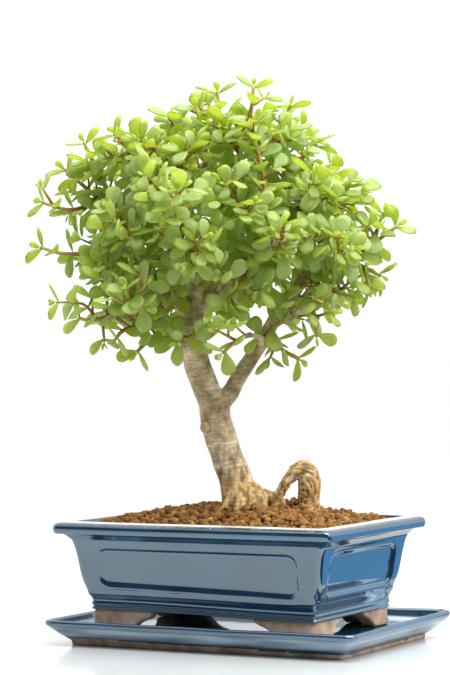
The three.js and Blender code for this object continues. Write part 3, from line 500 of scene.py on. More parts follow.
def apply_modifiers(piece):
    depsgraph = bpy.context.evaluated_depsgraph_get()
    mesh = bpy.data.meshes.new_from_object(piece.evaluated_get(depsgraph))
    piece.modifiers.clear()
    old = piece.data
    piece.data = mesh
    bpy.data.meshes.remove(old)


def make_tool(name, bm, place):
    bm.transform(place)
    mesh = bpy.data.meshes.new(name)
    bm.to_mesh(mesh)
    bm.free()
    tool = bpy.data.objects.new(name, mesh)
    bpy.context.scene.collection.objects.link(tool)
    return tool


def cut(piece, tools):
    for tool in tools:
        modifier = piece.modifiers.new("cut", "BOOLEAN")
        modifier.operation = "DIFFERENCE"
        modifier.solver = "EXACT"
        modifier.object = tool
    apply_modifiers(piece)
    for tool in tools:
        bpy.data.objects.remove(tool)


def cut_holes(body):
    """The two drainage holes through the pot's floor."""
    tools = []
    for across in (-HOLE_ACROSS, HOLE_ACROSS):
        bm = bmesh.new()
        sizes = {"radius1": HOLE_RADIUS, "radius2": HOLE_RADIUS, "depth": 20}
        bmesh.ops.create_cone(bm, cap_ends=True, segments=40, **sizes)
        bmesh.ops.translate(bm, verts=bm.verts, vec=(across, 0, 27))
        tools.append(make_tool("drain_cutter", bm, POT_PLACE))
    cut(body, tools)


FOOT = {"inset": 19.8, "flare": 1.3, "thickness": 9.0, "bottom": 9.8, "top": 23.7, "voxel": 1.1}
# The length of a foot at its top and at its bottom, along each wall.
FRONT_FOOT, SIDE_FOOT = (45, 28), (41, 24)


def foot_gap(half_base, top_length, bottom_length):
    """A cutter for the gap between two feet: its edges swing like a cloud scroll."""
    high, low = half_base - top_length, half_base - bottom_length
    edge = [
        (low + 1, 6.0), (low, 9.8), (low - 1.5, 11.6), (low - 4.5, 13.9), ((low + high) / 2 + 1.5, 15.8),
        (high + 4, 18.0), (high + 1, 20.4), (high, 23.2),
    ]
    bm = bmesh.new()
    outline = [tuple(p) for p in smooth_profile(edge, 1.5)]
    outline += [(-x, z) for x, z in reversed(outline)]
    verts = [bm.verts.new((x, -200.0, z)) for x, z in outline]
    face = bm.faces.new(verts)
    pulled = bmesh.ops.extrude_face_region(bm, geom=[face])
    moved = [g for g in pulled["geom"] if isinstance(g, bmesh.types.BMVert)]
    bmesh.ops.translate(bm, verts=moved, vec=(0, 400, 0))
    bmesh.ops.recalc_face_normals(bm, faces=bm.faces)
    return bm


def make_feet():
    inside = FOOT["inset"] + FOOT["thickness"]
    profile = [
        (FOOT["inset"], FOOT["top"], 4), (FOOT["inset"], 22, 4), (FOOT["inset"] - 0.3, 16, 4.5),
        (FOOT["inset"] - FOOT["flare"], 11, 5), (FOOT["inset"] - FOOT["flare"] + 0.5, FOOT["bottom"], 5),
        (inside, FOOT["bottom"], 2), (inside + 1, FOOT["top"], 2), (FOOT["inset"], FOOT["top"], 4),
    ]
    rings = [(POT_HALF_LENGTH - i, POT_HALF_WIDTH - i, r, z) for i, z, r in profile]
    bm = wrapped_shell(rings, 40, 30, 8)
    feet = make_piece("unglazed_feet", bm, POT_PLACE, [bare_clay], "glaze", "pot")
    side = foot_gap(POT_HALF_WIDTH - FOOT["inset"], *SIDE_FOOT)
    bmesh.ops.rotate(side, verts=side.verts, matrix=Matrix.Rotation(math.pi / 2, 3, "Z"))
    front = foot_gap(POT_HALF_LENGTH - FOOT["inset"], *FRONT_FOOT)
    cut(feet, [make_tool("front_gap", front, POT_PLACE), make_tool("side_gap", side, POT_PLACE)])
    soften(feet, FOOT["voxel"] * MM, 4)


def soften(piece, voxel, passes):
    """Remeshes a piece into small even faces and rounds its edges."""
    remesh = piece.modifiers.new("remesh", "REMESH")
    remesh.mode = "VOXEL"
    remesh.voxel_size = voxel
    relax = piece.modifiers.new("relax", "SMOOTH")
    relax.iterations = passes
    relax.factor = 0.5
    apply_modifiers(piece)
    for face in piece.data.polygons:
        face.use_smooth = True


make_pot()
make_feet()

# ------------------------------------------------------------------ drainage screens

for node in ("drainage_screen_1", "drainage_screen_2"):
    cad_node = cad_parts[node]
    cad_node.data.materials.clear()
    cad_node.data.materials.append(screen_plastic)

# ------------------------------------------------------------------ the tree's wood

# Points are [across the tree's front, away from its front, up], with a radius at each.
WOOD = {
    "trunk": (
        [(2, 0, 80), (0.5, 0, 92), (-3, 0, 106), (-8, -1, 120), (-12.5, -2, 134), (-16, -2, 147),
         (-17, -1, 160)],
        [12.5, 12.8, 11.2, 10.5, 10.6, 10.3, 10.6],
    ),
    "left_stem": (
        [(-16, -1, 152), (-23, -3, 170), (-28, -5, 184), (-30.5, -6, 198), (-31, -6, 212),
         (-30, -5, 226)],
        [8.8, 8.9, 8.8, 8.2, 7.6, 6.4],
    ),
    "left_leader": (
        [(-31, -6, 216), (-34, -8, 233), (-38, -12, 250), (-41, -14, 263), (-43, -12, 283),
         (-44, -8, 306),
         (-44, -6, 321)],
        [6, 5.2, 4.2, 3.6, 3, 2.6, 2.3],
    ),
    "right_leader": (
        [(-29, -5, 217), (-16, 0, 233), (-2, 8, 246), (15, 14, 266), (25, 16, 283), (31, 16, 301),
         (31, 14, 327),
         (31, 12, 348)],
        [5.6, 5, 4.4, 3.6, 3, 2.6, 2.1, 1.8],
    ),
    "right_branch": (
        [(-16, 0, 154), (-6.5, 1, 164.5), (-0.5, 3, 175), (13, 7, 195), (24, 10, 213), (34, 10, 227),
         (45, 8, 243),
         (54, 5, 252), (74, 0, 253)],
        [7, 6, 5.3, 5, 4.6, 4.3, 4, 4.2, 2.2],
    ),
    "right_back": ([(24, 10, 213), (42, 35, 226), (60, 55, 240), (74, 66, 252)], [3.4, 2.8, 2.2, 1.7]),
    "left_low": (
        [(-31, -6, 199), (-44, -11, 200), (-58, -18, 201), (-73, -22, 209), (-83, -25, 216)],
        [3.8, 3.2, 2.6, 2.2, 1.9],
    ),
    "left_middle": (
        [(-35, -8, 232), (-49, -4, 229), (-59, 0, 237), (-75, 2, 252), (-91, 0, 264)],
        [3.2, 2.8, 2.5, 2, 1.6],
    ),
    "left_back": ([(-31, -6, 212), (-43, 20, 224), (-60, 45, 234), (-74, 62, 248)], [3.4, 2.8, 2.2, 1.7]),
    "left_high": (
        [(-39, -13, 256), (-52, 5, 268), (-72, 10, 285), (-87, 8, 292), (-95, 5, 291)],
        [2.9, 2.5, 2.1, 1.8, 1.6],
    ),
    "back_centre": ([(-14, 1, 235), (-9, 30, 244), (-4, 55, 258), (-1, 72, 276)], [3.2, 2.6, 2.2, 1.7]),
    "back_top": ([(-43, -12, 280), (-35, 20, 297), (-25, 40, 315), (-17, 50, 330)], [2.6, 2.3, 2, 1.6]),
    "front_left": ([(-38, -12, 248), (-39, -35, 259), (-40, -55, 274), (-39, -68, 286)], [2.8, 2.4, 2, 1.6]),
    "front_right": ([(-4, 7, 244), (8, -20, 251), (19, -45, 258), (27, -60, 264)], [3, 2.4, 2, 1.6]),
    "top_centre": (
        [(16, 14, 267), (8, 5, 290), (3, 0, 309), (1, -2, 332), (1, -2, 351)],
        [2.6, 2.3, 2, 1.8, 1.6],
    ),
    "right_top": ([(24, 16, 281), (42, 10, 287), (58, 5, 288), (71, 0, 291)], [2.6, 2.2, 1.9, 1.6]),
    "right_back_top": ([(25, 16, 284), (39, 40, 298), (54, 58, 309)], [2.4, 2, 1.6]),
    "top_left": ([(-43, -12, 291), (-51, -10, 303), (-60, -15, 316), (-72, -15, 326)], [2.4, 2.1, 1.8, 1.6]),
    "low_right": ([(24, 10, 213), (34, -15, 214), (40, -25, 219), (50, -30, 222)], [2.8, 2.3, 1.9, 1.6]),
    "low_front": ([(13, 7, 196), (15, -20, 200), (7, -40, 203)], [2.4, 2, 1.6]),
}

ROOTS = {
    "root_front": ([(0, -5, 104), (-2, -12, 97), (-1.5, -16, 84)], [5.5, 5.6, 5]),
    "root_front_left": ([(-5, -9, 98), (-9, -15, 93), (-13, -18, 88), (-17, -20, 80)], [3, 2, 1.7, 1.5]),
    "root_right": (
        [(4, -3, 104), (12, -6, 98.5), (19, -8, 95.5), (25, -9, 92.5), (30, -10, 82)],
        [5, 4.6, 4.4, 4.2, 3.6],
    ),
    "root_near": ([(5, -6, 103), (7, -14, 96), (8, -17, 84)], [4, 3.3, 2.8]),
    "root_near_right": ([(7, -5, 103), (13, -12, 97), (15, -16, 84)], [4, 3.4, 2.8]),
    "root_back": ([(2, 5, 103), (8, 14, 96), (14, 20, 82)], [4.6, 3.8, 2.8]),
    "root_left": ([(-4, 3, 102), (-9, 11, 94), (-13, 16, 82)], [4.2, 3.2, 2.4]),
    "loop": (
        [(20, -11, 84), (24.5, -10, 95), (29, -10, 103.5), (34, -9, 110), (39.5, -8, 114.3),
         (44.5, -8, 111.5),
         (45.3, -8, 103), (45, -8, 95), (44.5, -8, 80)],
        [3, 3.4, 3.3, 4.2, 5.6, 7, 7.4, 7.2, 7],
    ),
}

STUBS = {
    "knot": ([(-17, -6, 143), (-24.3, -12.2, 142.2)], [4.2, 4.0]),
    "fork_stub": ([(-29, -5, 220), (-26, -8, 236)], [4.6, 3.6]),
    "leader_stub": ([(-44, -7, 308), (-48, -14, 316)], [2.4, 2.2]),
    "right_stub": ([(31, 16, 304), (36, 12, 315)], [2.2, 1.8]),
}


def smooth_line(points, radii, spacing):
    """A smooth line through points, as rows of x, y, z and radius."""
    return smooth_rows([np.array([*p, r], float) for p, r in zip(points, radii)], spacing, 3)


def add_tube(bm, rows, sides):
    """A closed tube along rows of x, y, z and radius, from a grid wrapped round the line."""
    centre = [Vector(row[:3]) for row in rows]
    radii = [float(row[3]) for row in rows]
    first = (centre[1] - centre[0]).normalized()
    last = (centre[-1] - centre[-2]).normalized()
    centre = [centre[0]] + centre + [centre[-1] + 0.35 * radii[-1] * last]
    radii = [0.0] + radii + [0.0]
    count = len(centre) - 1
    made = bmesh.ops.create_grid(bm, x_segments=sides, y_segments=count, size=0.5)["verts"]
    tangents = []
    for i in range(len(centre)):
        line = centre[min(i + 1, count)] - centre[max(i - 1, 0)]
        tangents.append(line.normalized() if line.length > 1e-6 else first)
    across = [tangents[1].orthogonal().normalized()]
    for tangent in tangents[1:]:
        carried = across[-1] - across[-1].dot(tangent) * tangent
        across.append(carried.normalized())
    for vert in made:
        k = round((vert.co.x + 0.5) * sides) % sides
        ring = round((vert.co.y + 0.5) * count)
        angle = 2 * math.pi * k / sides
        side = across[ring] * math.cos(angle) + tangents[ring].cross(across[ring]) * math.sin(angle)
        vert.co = centre[ring] + radii[ring] * side
    return made


BARK_VOXEL = 0.85
LOOP_CENTRE = (37.5, 100.0)
SCAR_HEIGHTS = (117.0, 132.5)
KNOT = (-24.5, -12.5, 142.0)


def bark_relief(spot):
    """The bark's height in millimetres at a spot, and its relief from -1 in a crack to 1 on a scar: painted
    shade in the cracks, painted highlight on raised strands.
    """
    x, y, z = spot
    size = 1.0 if z < 230 else 0.35
    height = size * (0.32 * noise.noise(spot * 0.11) + 0.2 * noise.noise(spot * 0.4))
    near_loop = smoothstep(15, 23, x) * smoothstep(132, 122, z)
    low = smoothstep(140, 112, z) * (1 - near_loop)
    # relief is painted shade below 0, in the hollows of the height, and painted highlight above 0, on its
    # crests.
    relief = 0.0
    if near_loop > 0:
        outward = math.hypot(x - LOOP_CENTRE[0], z - LOOP_CENTRE[1])
        angle = math.atan2(z - LOOP_CENTRE[1], x - LOOP_CENTRE[0])
        strand = noise.noise(Vector((outward * 0.75, y * 0.75, angle * 2.2)))
        height += 1.2 * near_loop * strand
        relief -= near_loop * (1.05 * smoothstep(0.0, -0.35, strand) - 0.3 * smoothstep(0.1, 0.5, strand))
    if low > 0:
        split = noise.noise(Vector((x * 0.36, y * 0.36, z * 0.07)))
        height += 0.7 * low * split
        relief -= low * (0.8 * smoothstep(0.0, -0.35, split) - 0.3 * smoothstep(0.1, 0.45, split))
    if -35 < x < 15 and 105 < z < 145:
        for scar in SCAR_HEIGHTS:
            ring = math.exp(-(((z - scar - 0.12 * x - 1.2 * noise.noise(spot * 0.15)) / 0.8) ** 2))
            height += 0.3 * ring
            relief += 0.5 * ring
    around_knot = math.exp(-(((math.dist(spot, KNOT) - 5.0) / 0.8) ** 2))
    height -= 0.5 * around_knot
    relief -= 0.8 * around_knot
    return height, max(-1.0, min(1.0, relief)), near_loop


def make_tree():
    bm = bmesh.new()
    for points, radii in [*WOOD.values(), *ROOTS.values(), *STUBS.values()]:
        add_tube(bm, smooth_line(points, radii, 3.0), 16)
    bmesh.ops.remove_doubles(bm, verts=bm.verts, dist=1e-5)
    bmesh.ops.recalc_face_normals(bm, faces=bm.faces)
    tree = make_piece("jade_tree_wood", bm, TREE_PLACE, [bark], "bark", "tree")
    soften(tree, BARK_VOXEL * MM, 5)
    mesh = tree.data
    back = TREE_PLACE.inverted()
    normals = [v.normal.copy() for v in mesh.vertices]
    values = {key: np.zeros(len(mesh.vertices), np.float32) for key in ("root", "relief")}
    for i, vert in enumerate(mesh.vertices):
        spot = back @ vert.co
        height, relief, near_loop = bark_relief(spot)
        vert.co += normals[i] * (MM * height)
        values["root"][i] = max(smoothstep(118, 98, spot.z), near_loop)
        values["relief"][i] = relief
    for key, numbers in values.items():
        mesh.attributes.new(key, "FLOAT", "POINT").data.foreach_set("value", numbers)


make_tree()

# ------------------------------------------------------------------ soil


SOIL_EDGE, SOIL_RISE = 75.4, 14.1
SOIL_HALF_LENGTH, SOIL_HALF_WIDTH = 88.6, 62.6
# Granules are heaped inside the loop of root.
HEAP_SPOT, HEAP_RISE, HEAP_WIDTH = (36.5, 10.0), 4.5, 8.5
GRANULE_PITCH = 3.3


def soil_height(x, y):
    edge = max(abs(x) / 90, abs(y) / 64)
    lumps = math.sin(x * 1.31 + y * 0.53) * math.cos(y * 1.17 - x * 0.29)
    heap = HEAP_RISE * math.exp(-((math.dist((x, y), HEAP_SPOT) / HEAP_WIDTH) ** 2))
    return SOIL_EDGE + SOIL_RISE * (1 - edge**2) + 0.6 * lumps + heap


def make_soil():
    rings = [(0, 0, 0, 31.4), (74.4, 48.4, 4, 31.4)]
    for inset, z in ((23.3, 42), (17.3, 60), (13.1, 72.5)):
        rings.append((POT_HALF_LENGTH - inset, POT_HALF_WIDTH - inset, 4, z))
    for k in range(24, -1, -1):
        share = k / 24
        rings.append((SOIL_HALF_LENGTH * share, SOIL_HALF_WIDTH * share, 4 * share, 80.0))
    bm = wrapped_shell(rings, 50, 36, 2)
    tone = bm.verts.layers.float.new("tone")
    for vert in bm.verts:
        if vert.co.z > 79:
            vert.co.z = soil_height(vert.co.x, vert.co.y) - 2.6
        # The bed under the granules takes the darkest tone: painted shade for the gaps between granules.
        vert[tone] = 0.05
    make_piece("soil_bed", bm, POT_PLACE, [granules], "granules", "soil")

    rng = np.random.default_rng(7)
    bm = bmesh.new()
    layers = {key: bm.verts.layers.float.new(key) for key in ("tone", "cx", "cy", "cz", "size", "chance")}
    pitch, row_pitch = GRANULE_PITCH, GRANULE_PITCH * 0.87
    rows = int(126 / row_pitch)
    for row in range(rows):
        for column in range(int(178 / pitch)):
            x = -88 + (column + 0.5 * (row % 2)) * pitch + rng.uniform(-1, 1)
            y = -61.5 + row * row_pitch + rng.uniform(-1, 1)
            size = rng.uniform(1.35, 2.35)
            if abs(x) > 87.5 - size or abs(y) > 62 - size:
                continue
            z = soil_height(x, y) + rng.uniform(-1.9, 1.3)
            angle, axis = rng.uniform(0, 6.3), Vector(rng.normal(size=3))
            place = Matrix.Translation((x, y, z)) @ Matrix.Rotation(angle, 4, axis)
            stretch = Matrix.Diagonal((*(rng.uniform(0.8, 1.25, 3)), 1.0))
            made = bmesh.ops.create_cube(bm, size=2 * size, matrix=place @ stretch)["verts"]
            chance, shade = rng.uniform(0, 100), rng.normal(0.32, 0.16)
            for vert in made:
                for key, value in zip(layers, (shade, x, y, z, size, chance)):
                    vert[layers[key]] = value
    bmesh.ops.subdivide_edges(bm, edges=bm.edges, cuts=1, use_grid_fill=True)
    for vert in bm.verts:
        x, y, z, size, chance = (vert[layers[key]] for key in ("cx", "cy", "cz", "size", "chance"))
        centre = Vector((x, y, z))
        out = vert.co - centre
        away = out.normalized()
        lump = 1 + 0.34 * noise.noise(away * 1.6 + Vector((chance, 0, 0)))
        vert.co = centre + (out * 0.25 + away * size * 0.8) * lump
    for key in ("cx", "cy", "cz", "size", "chance"):
        bm.verts.layers.float.remove(bm.verts.layers.float[key])
    make_piece("soil_granules", bm, POT_PLACE, [granules], "granules", "soil")


make_soil()

# ------------------------------------------------------------------ sprays: where they grow

# Main stem first; each side stem starts at a fraction of the main one's length.
SPRAYS = {
    "left_long": ([(-91, 0, 264), (-104, -2, 258), (-118, -4, 258), (-131, -5, 262)], []),
    "left_upper": ([(-95, 5, 291), (-112, 4, 287), (-130, 0, 292)], [(0.79, (-130, 2, 302))]),
    "left_olive": ([(-81, 9, 289), (-96, 4, 319), (-102, 3, 332)], [(0.6, (-99, -12, 317))]),
    "left_cluster": ([(-90, 7, 292), (-116, 16, 315)], []),
    "left_end": (
        [(-83, -25, 216), (-97, -28, 213), (-105, -28, 215)],
        [(0.45, (-102, -31, 224), (-119, -33, 225)), (0.15, (-86, -29, 252)), (0.3, (-88, -30, 199))],
    ),
    "left_under": ([(-70, -21, 208), (-76, -34, 206), (-80, -42, 201)], []),
    "left_under_in": ([(-59, -18, 201), (-67, -32, 192)], []),
    "left_front": (
        [(-65, -20, 205), (-68, -42, 219), (-73, -60, 233)],
        [(0.6, (-81, -62, 227)), (0.69, (-59, -62, 236))],
    ),
    "left_mid": ([(-75, 2, 252), (-83, -14, 252), (-92, -26, 248)], [(0.47, (-87, -30, 262))]),
    "left_inner": ([(-59, 0, 237), (-63, -20, 248), (-69, -40, 254)], []),
    "left_upper_front": ([(-72, 10, 285), (-76, -20, 278), (-81, -45, 277)], [(0.58, (-70, -52, 265))]),
    "top_left_end": ([(-72, -15, 326), (-81, -16, 336)], []),
    "top_left_out": ([(-69, -15, 324), (-87, -20, 319)], []),
    "top_left_olive": ([(-60, -15, 315), (-63, -28, 331)], [(0.5, (-52, -36, 325))]),
    "top_left_high": ([(-44, -6, 320), (-40, -6, 332), (-43, -6, 346)], []),
    "top_left_near": ([(-44, -7, 311), (-35, -24, 317), (-28, -32, 324)], []),
    "top_left_front": ([(-51, -10, 303), (-55, -38, 302), (-60, -56, 306)], [(0.51, (-50, -60, 291))]),
    "top_cut": ([(1, -2, 328), (-21, -14, 338), (-27, -14, 353)], [(0.42, (-10, -30, 338))]),
    "top_yellow": ([(2, -1, 322), (-10, -4, 344), (-13, -4, 364)], [(0.62, (-20, -2, 357))]),
    "top_highest": ([(1, -2, 336), (9, -2, 351), (11, -2, 368)], [(0.6, (19, 5, 361))]),
    "front_olive": ([(12, -30, 254), (16, -40, 276), (17, -42, 300), (9, -38, 339)], []),
    "top_right_cut": ([(31, 13, 341), (35, 0, 355)], []),
    "top_right_near": ([(31, 14, 320), (20, -24, 337)], [(0.54, (35, -26, 331))]),
    "top_right_out": ([(31, 15, 309), (53, 8, 330)], []),
    "right_rosette": ([(71, 0, 291), (73, -8, 301)], [(0.3, (63, 6, 303))]),
    "right_upper_front": ([(42, 10, 287), (45, -25, 294), (48, -48, 300)], [(0.41, (58, -34, 291))]),
    "right_high": (
        [(74, 0, 253), (87, -4, 261), (105, -8, 274)],
        [(0.43, (96, -8, 283)), (0.6, (84, -20, 274))],
    ),
    "right_out": ([(68, 1, 253), (83, -4, 247), (94, -6, 241)], [(0.53, (87, -12, 232))]),
    "right_low": ([(45, 8, 243), (58, 4, 233), (77, 0, 227)], [(0.66, (76, -16, 239))]),
    "right_front": (
        [(54, 5, 252), (57, -26, 259), (60, -52, 266)],
        [(0.44, (69, -44, 257)), (0.55, (46, -52, 266))],
    ),
    "right_under": ([(45, -28, 221), (50, -34, 213), (50, -38, 201)], [(0.4, (60, -42, 217))]),
    "right_hang": ([(19, 9, 205), (26, 6, 195), (40, 2, 186)], [(0.35, (20, 0, 187))]),
    "low_twig": ([(14, -8, 198), (20, -16, 206), (29, -26, 211)], []),
    "trunk_front": ([(7, -40, 203), (-2, -48, 199), (-11, -52, 191)], [(0.5, (-15, -52, 206))]),
    "trunk_left": ([(-44, -11, 200), (-38, -28, 202), (-40, -40, 198)], [(0.5, (-25, -40, 202))]),
    "centre_low": (
        [(8, -20, 251), (1, -38, 238), (-8, -50, 223)],
        [(0.46, (13, -50, 227)), (0.55, (-12, -52, 240))],
    ),
    "centre_end": ([(27, -60, 264), (29, -72, 274)], []),
    "near_rosette": ([(-39, -68, 286), (-39, -84, 293)], []),
    "centre_left": ([(-39, -38, 261), (-30, -62, 259), (-22, -74, 264)], [(0.53, (-29, -68, 246))]),
    "centre_top": (
        [(8, 5, 290), (-1, -30, 291), (-8, -56, 299)],
        [(0.5, (-16, -58, 286)), (0.56, (7, -62, 279))],
    ),
}

BACK_SPRAYS = [
    ("left_back", 0.45), ("left_back", 0.72), ("left_back", 1), ("back_centre", 0.4),
    ("back_centre", 0.7),
    ("back_centre", 1), ("back_top", 0.4), ("back_top", 0.7), ("back_top", 1), ("right_back", 0.5),
    ("right_back", 0.75), ("right_back", 1), ("right_back_top", 0.55), ("right_back_top", 1),
]

CROWN_CENTRE = np.array([-14.0, 0.0, 276.0])
CROWN_RADII = np.array([108.0, 96.0, 82.0])
GOLDEN_ANGLE = 2.39996
TIP_BUD, INTERNODE = 2.2, 10.0
LEAF_LENGTH, WIDTH_RATIO = 16.0, 0.62


class SeededNumbers:
    """A repeatable stream of numbers from 0 to 1."""

    def __init__(self, seed):
        self.state = seed

    def __call__(self):
        self.state = (1664525 * self.state + 1013904223) % 4294967296
        return self.state / 4294967296


def unit(v):
    return v / math.sqrt(float(v @ v))


def squared(direction, tangent):
    return unit(direction - (direction @ tangent) * tangent)


def turned(v, axis, angle):
    """v turned about a unit axis."""
    c, s = math.cos(angle), math.sin(angle)
    return v * c + np.cross(axis, v) * s + axis * (axis @ v) * (1 - c)


def along(points, fraction):
    """The point at a fraction of a line's length, its direction there, and the one carried along it."""
    path = [np.array(p, float) for p in points]
    last = len(path) - 1
    tangents = [unit(path[min(i + 1, last)] - path[max(i - 1, 0)]) for i in range(last + 1)]
    depth = np.array([1.0, 0, 0]) if abs(tangents[0][1]) > 0.85 else np.array([0, 1.0, 0])
    across = [unit(np.cross(tangents[0], depth))]
    for i in range(1, last + 1):
        across.append(squared(across[i - 1], tangents[i]))
    lengths = [math.dist(path[i + 1], path[i]) for i in range(last)]
    left = fraction * sum(lengths)
    i = 0
    while i < last - 1 and left > lengths[i]:
        left -= lengths[i]
        i += 1
    tangent = unit(path[i + 1] - path[i])
    return path[i] + left * tangent, tangent, squared(across[i], tangent)


def line_length(points):
    return sum(math.dist(a, b) for a, b in zip(points, points[1:]))


def crown_reach(spot):
    """How far out a spot lies, where 1 is the crown's surface."""
    return float(np.linalg.norm((spot - CROWN_CENTRE) / CROWN_RADII))


def hides_trunk(spot):
    """Whether a spot lies before the fork of the trunk, which the front leaves open."""
    x, y, z = spot
    return y < 0 and -46 < x < -12 and 186 < z < 238


def shoot_end(spot, direction, length, shortest=14):
    """The end of a shoot that leaves a spot in a direction, cut back to the crown's surface."""
    while crown_reach(spot + direction * length) > 1 and length > shortest:
        length -= 2
    return spot + direction * length


def back_spray_stems(branch, fraction, index):
    spot, tangent, across = along(WOOD[branch][0], fraction)
    outward = unit(spot - CROWN_CENTRE)
    azimuth = index * GOLDEN_ANGLE
    direction = unit(turned(across, tangent, azimuth) * 0.7 + 0.5 * tangent + 0.7 * outward)
    main = [spot, shoot_end(spot, direction, 50)]
    stems = [main]
    for k in range(2):
        start, start_tangent, start_across = along(main, 0.4 + 0.25 * k)
        sideways = turned(start_across, start_tangent, azimuth + (k + 1) * GOLDEN_ANGLE)
        sideways = unit(sideways + 0.55 * start_tangent + 0.3 * outward)
        stems.append([start, shoot_end(start, sideways, 25 - k)])
    return stems


def spray_stems():
    """Every spray's stems by name: the main one, then its side stems."""
    result = {}
    for name, (main, sides) in SPRAYS.items():
        result[name] = [main] + [[along(main, fraction)[0], *points] for fraction, *points in sides]
    for index, (branch, fraction) in enumerate(BACK_SPRAYS):
        result[f"back_{index + 1}"] = back_spray_stems(branch, fraction, index)
    return result


# ------------------------------------------------------------------ leaves: where they sit

# Spots on a blade, as fractions of its length and width, where it is tested for clashes.
TEST_SPOTS = np.array(
    [
        (0.3, 0), (0.5, 0), (0.75, 0), (1, 0), (0.35, 0.25), (0.6, 0.3), (0.85, 0.35), (0.6, 0.5),
        (0.35, -0.25), (0.6, -0.3), (0.85, -0.35), (0.6, -0.5),
    ]
)


def leaf_frame(spot, tangent, side, spread, roll, length, outward=0.8, upward=0.6):
    direction = side * math.cos(spread) + tangent * math.sin(spread)
    facing = 0.4 * tangent + outward * unit(spot - CROWN_CENTRE) + np.array([0, 0, upward])
    facing = turned(unit(facing - (facing @ direction) * direction), direction, roll)
    return {
        "spot": spot,
        "direction": direction,
        "facing": facing,
        "across": np.cross(direction, facing),
        "length": length,
        "width": length * WIDTH_RATIO,
    }


def blade_centre(leaf):
    return leaf["spot"] + 0.56 * leaf["length"] * leaf["direction"]


def blade_half_size(leaf):
    return np.array([0.52 * leaf["length"], 0.58 * leaf["width"]])


def blade_spots(leaf):
    lengthwise = TEST_SPOTS[:, :1] * leaf["length"] * leaf["direction"]
    return leaf["spot"] + lengthwise + TEST_SPOTS[:, 1:] * leaf["width"] * leaf["across"]


class Clearance:
    """Tells whether a new leaf is clear of the wood, the stems and the leaves placed so far."""

    def __init__(self, stems_by_spray):
        limbs = []
        for points, radii in [*WOOD.values(), *STUBS.values()]:
            for i in range(len(points) - 1):
                limbs.append((points[i], points[i + 1], max(radii[i], radii[i + 1])))
        for stems in stems_by_spray.values():
            for points in stems:
                limbs += [(a, b, 1.2) for a, b in zip(points, points[1:])]
        self.starts = np.array([limb[0] for limb in limbs], float)
        self.lines = np.array([limb[1] for limb in limbs], float) - self.starts
        self.squares = np.einsum("jk,jk->j", self.lines, self.lines)
        self.radii = np.array([limb[2] for limb in limbs])
        self.placed = {key: np.zeros((0, 3)) for key in ("spot", "centre", "direction", "across", "facing")}
        self.sizes = np.zeros((0, 2))
        self.spots = np.zeros((0, len(TEST_SPOTS), 3))

    def is_clear(self, leaf, thickness=2.4, wood_gap=1.1):
        spots = blade_spots(leaf)
        offset = spots[:, None, :] - self.starts[None, :, :]
        t = np.clip(np.einsum("ijk,jk->ij", offset, self.lines) / self.squares, 0, 1)
        distance = np.linalg.norm(offset - t[:, :, None] * self.lines[None, :, :], axis=2)
        if np.any(distance < self.radii[None, :] + wood_gap):
            return False
        near = np.linalg.norm(self.placed["spot"] - leaf["spot"], axis=1) <= 40
        if not np.any(near):
            return True
        axes = {key: rows[near] for key, rows in self.placed.items()}
        half = self.sizes[near]
        offset = spots[None, :, :] - axes["centre"][:, None, :]
        x = np.einsum("nik,nk->ni", offset, axes["direction"]) / half[:, :1]
        y = np.einsum("nik,nk->ni", offset, axes["across"]) / half[:, 1:]
        above = np.abs(np.einsum("nik,nk->ni", offset, axes["facing"]))
        if np.any((above < thickness) & (x * x + y * y < 1)):
            return False
        centre, own = blade_centre(leaf), blade_half_size(leaf)
        offset = self.spots[near] - centre
        x, y = offset @ leaf["direction"] / own[0], offset @ leaf["across"] / own[1]
        return not np.any((np.abs(offset @ leaf["facing"]) < thickness) & (x * x + y * y < 1))

    def place(self, leaf):
        rows = {**leaf, "centre": blade_centre(leaf)}
        for key in self.placed:
            self.placed[key] = np.vstack([self.placed[key], rows[key]])
        self.sizes = np.vstack([self.sizes, blade_half_size(leaf)])
        self.spots = np.concatenate([self.spots, blade_spots(leaf)[None]])


# How the leaves between the first ones face: flatter, more to the sky.
FLATTER = {"outward": 0.4, "upward": 0.9}


def stem_leaves(points, random, spin, clearance, first_pair=0, pair_step=2, facing=None, **tests):
    """Opposite pairs of leaves from a stem's tip back, each pair square to its neighbours."""
    length = line_length(points)
    result = []
    pairs = math.floor((length - 7) / INTERNODE) + 1
    for pair in range(first_pair, pairs, pair_step):
        back = TIP_BUD + pair * INTERNODE
        spot, tangent, across = along(points, max(0, 1 - back / length))
        turn = spin + pair * math.pi / 2
        size = 0.92 if pair == 0 else 1.04
        for flip in (0, math.pi):
            spread = (0.6 if pair == 0 else 0.3) + 0.3 * (random() - 0.5)
            roll = 1.6 * (random() - 0.5)
            long = LEAF_LENGTH * size * (0.88 + 0.24 * random()) * (1.08 if facing else 1.0)
            for nudge in (0, 0.45, -0.45, 0.9, -0.9):
                side = turned(across, tangent, turn + flip + nudge)
                leaf = leaf_frame(spot, tangent, side, spread, roll, long, **(facing or {}))
                if clearance.is_clear(leaf, **tests):
                    leaf["young"] = max(0.0, 1 - pair / 3) * 0.5
                    clearance.place(leaf)
                    result.append(leaf)
                    break
    return result


# ------------------------------------------------------------------ leaves and stems: their meshes


def make_ball():
    """The round mesh that every leaf is drawn out from, with the leaves' attributes."""
    bm = bmesh.new()
    bmesh.ops.create_uvsphere(bm, u_segments=14, v_segments=4, radius=1)
    mesh = bpy.data.meshes.new("ball")
    bm.to_mesh(mesh)
    bm.free()
    for key in LEAF_ATTRIBUTES:
        mesh.attributes.new(key, "FLOAT", "POINT")
    return mesh


def smooth_ramp(low, high, values):
    t = np.clip((values - low) / (high - low), 0, 1)
    return t * t * (3 - 2 * t)


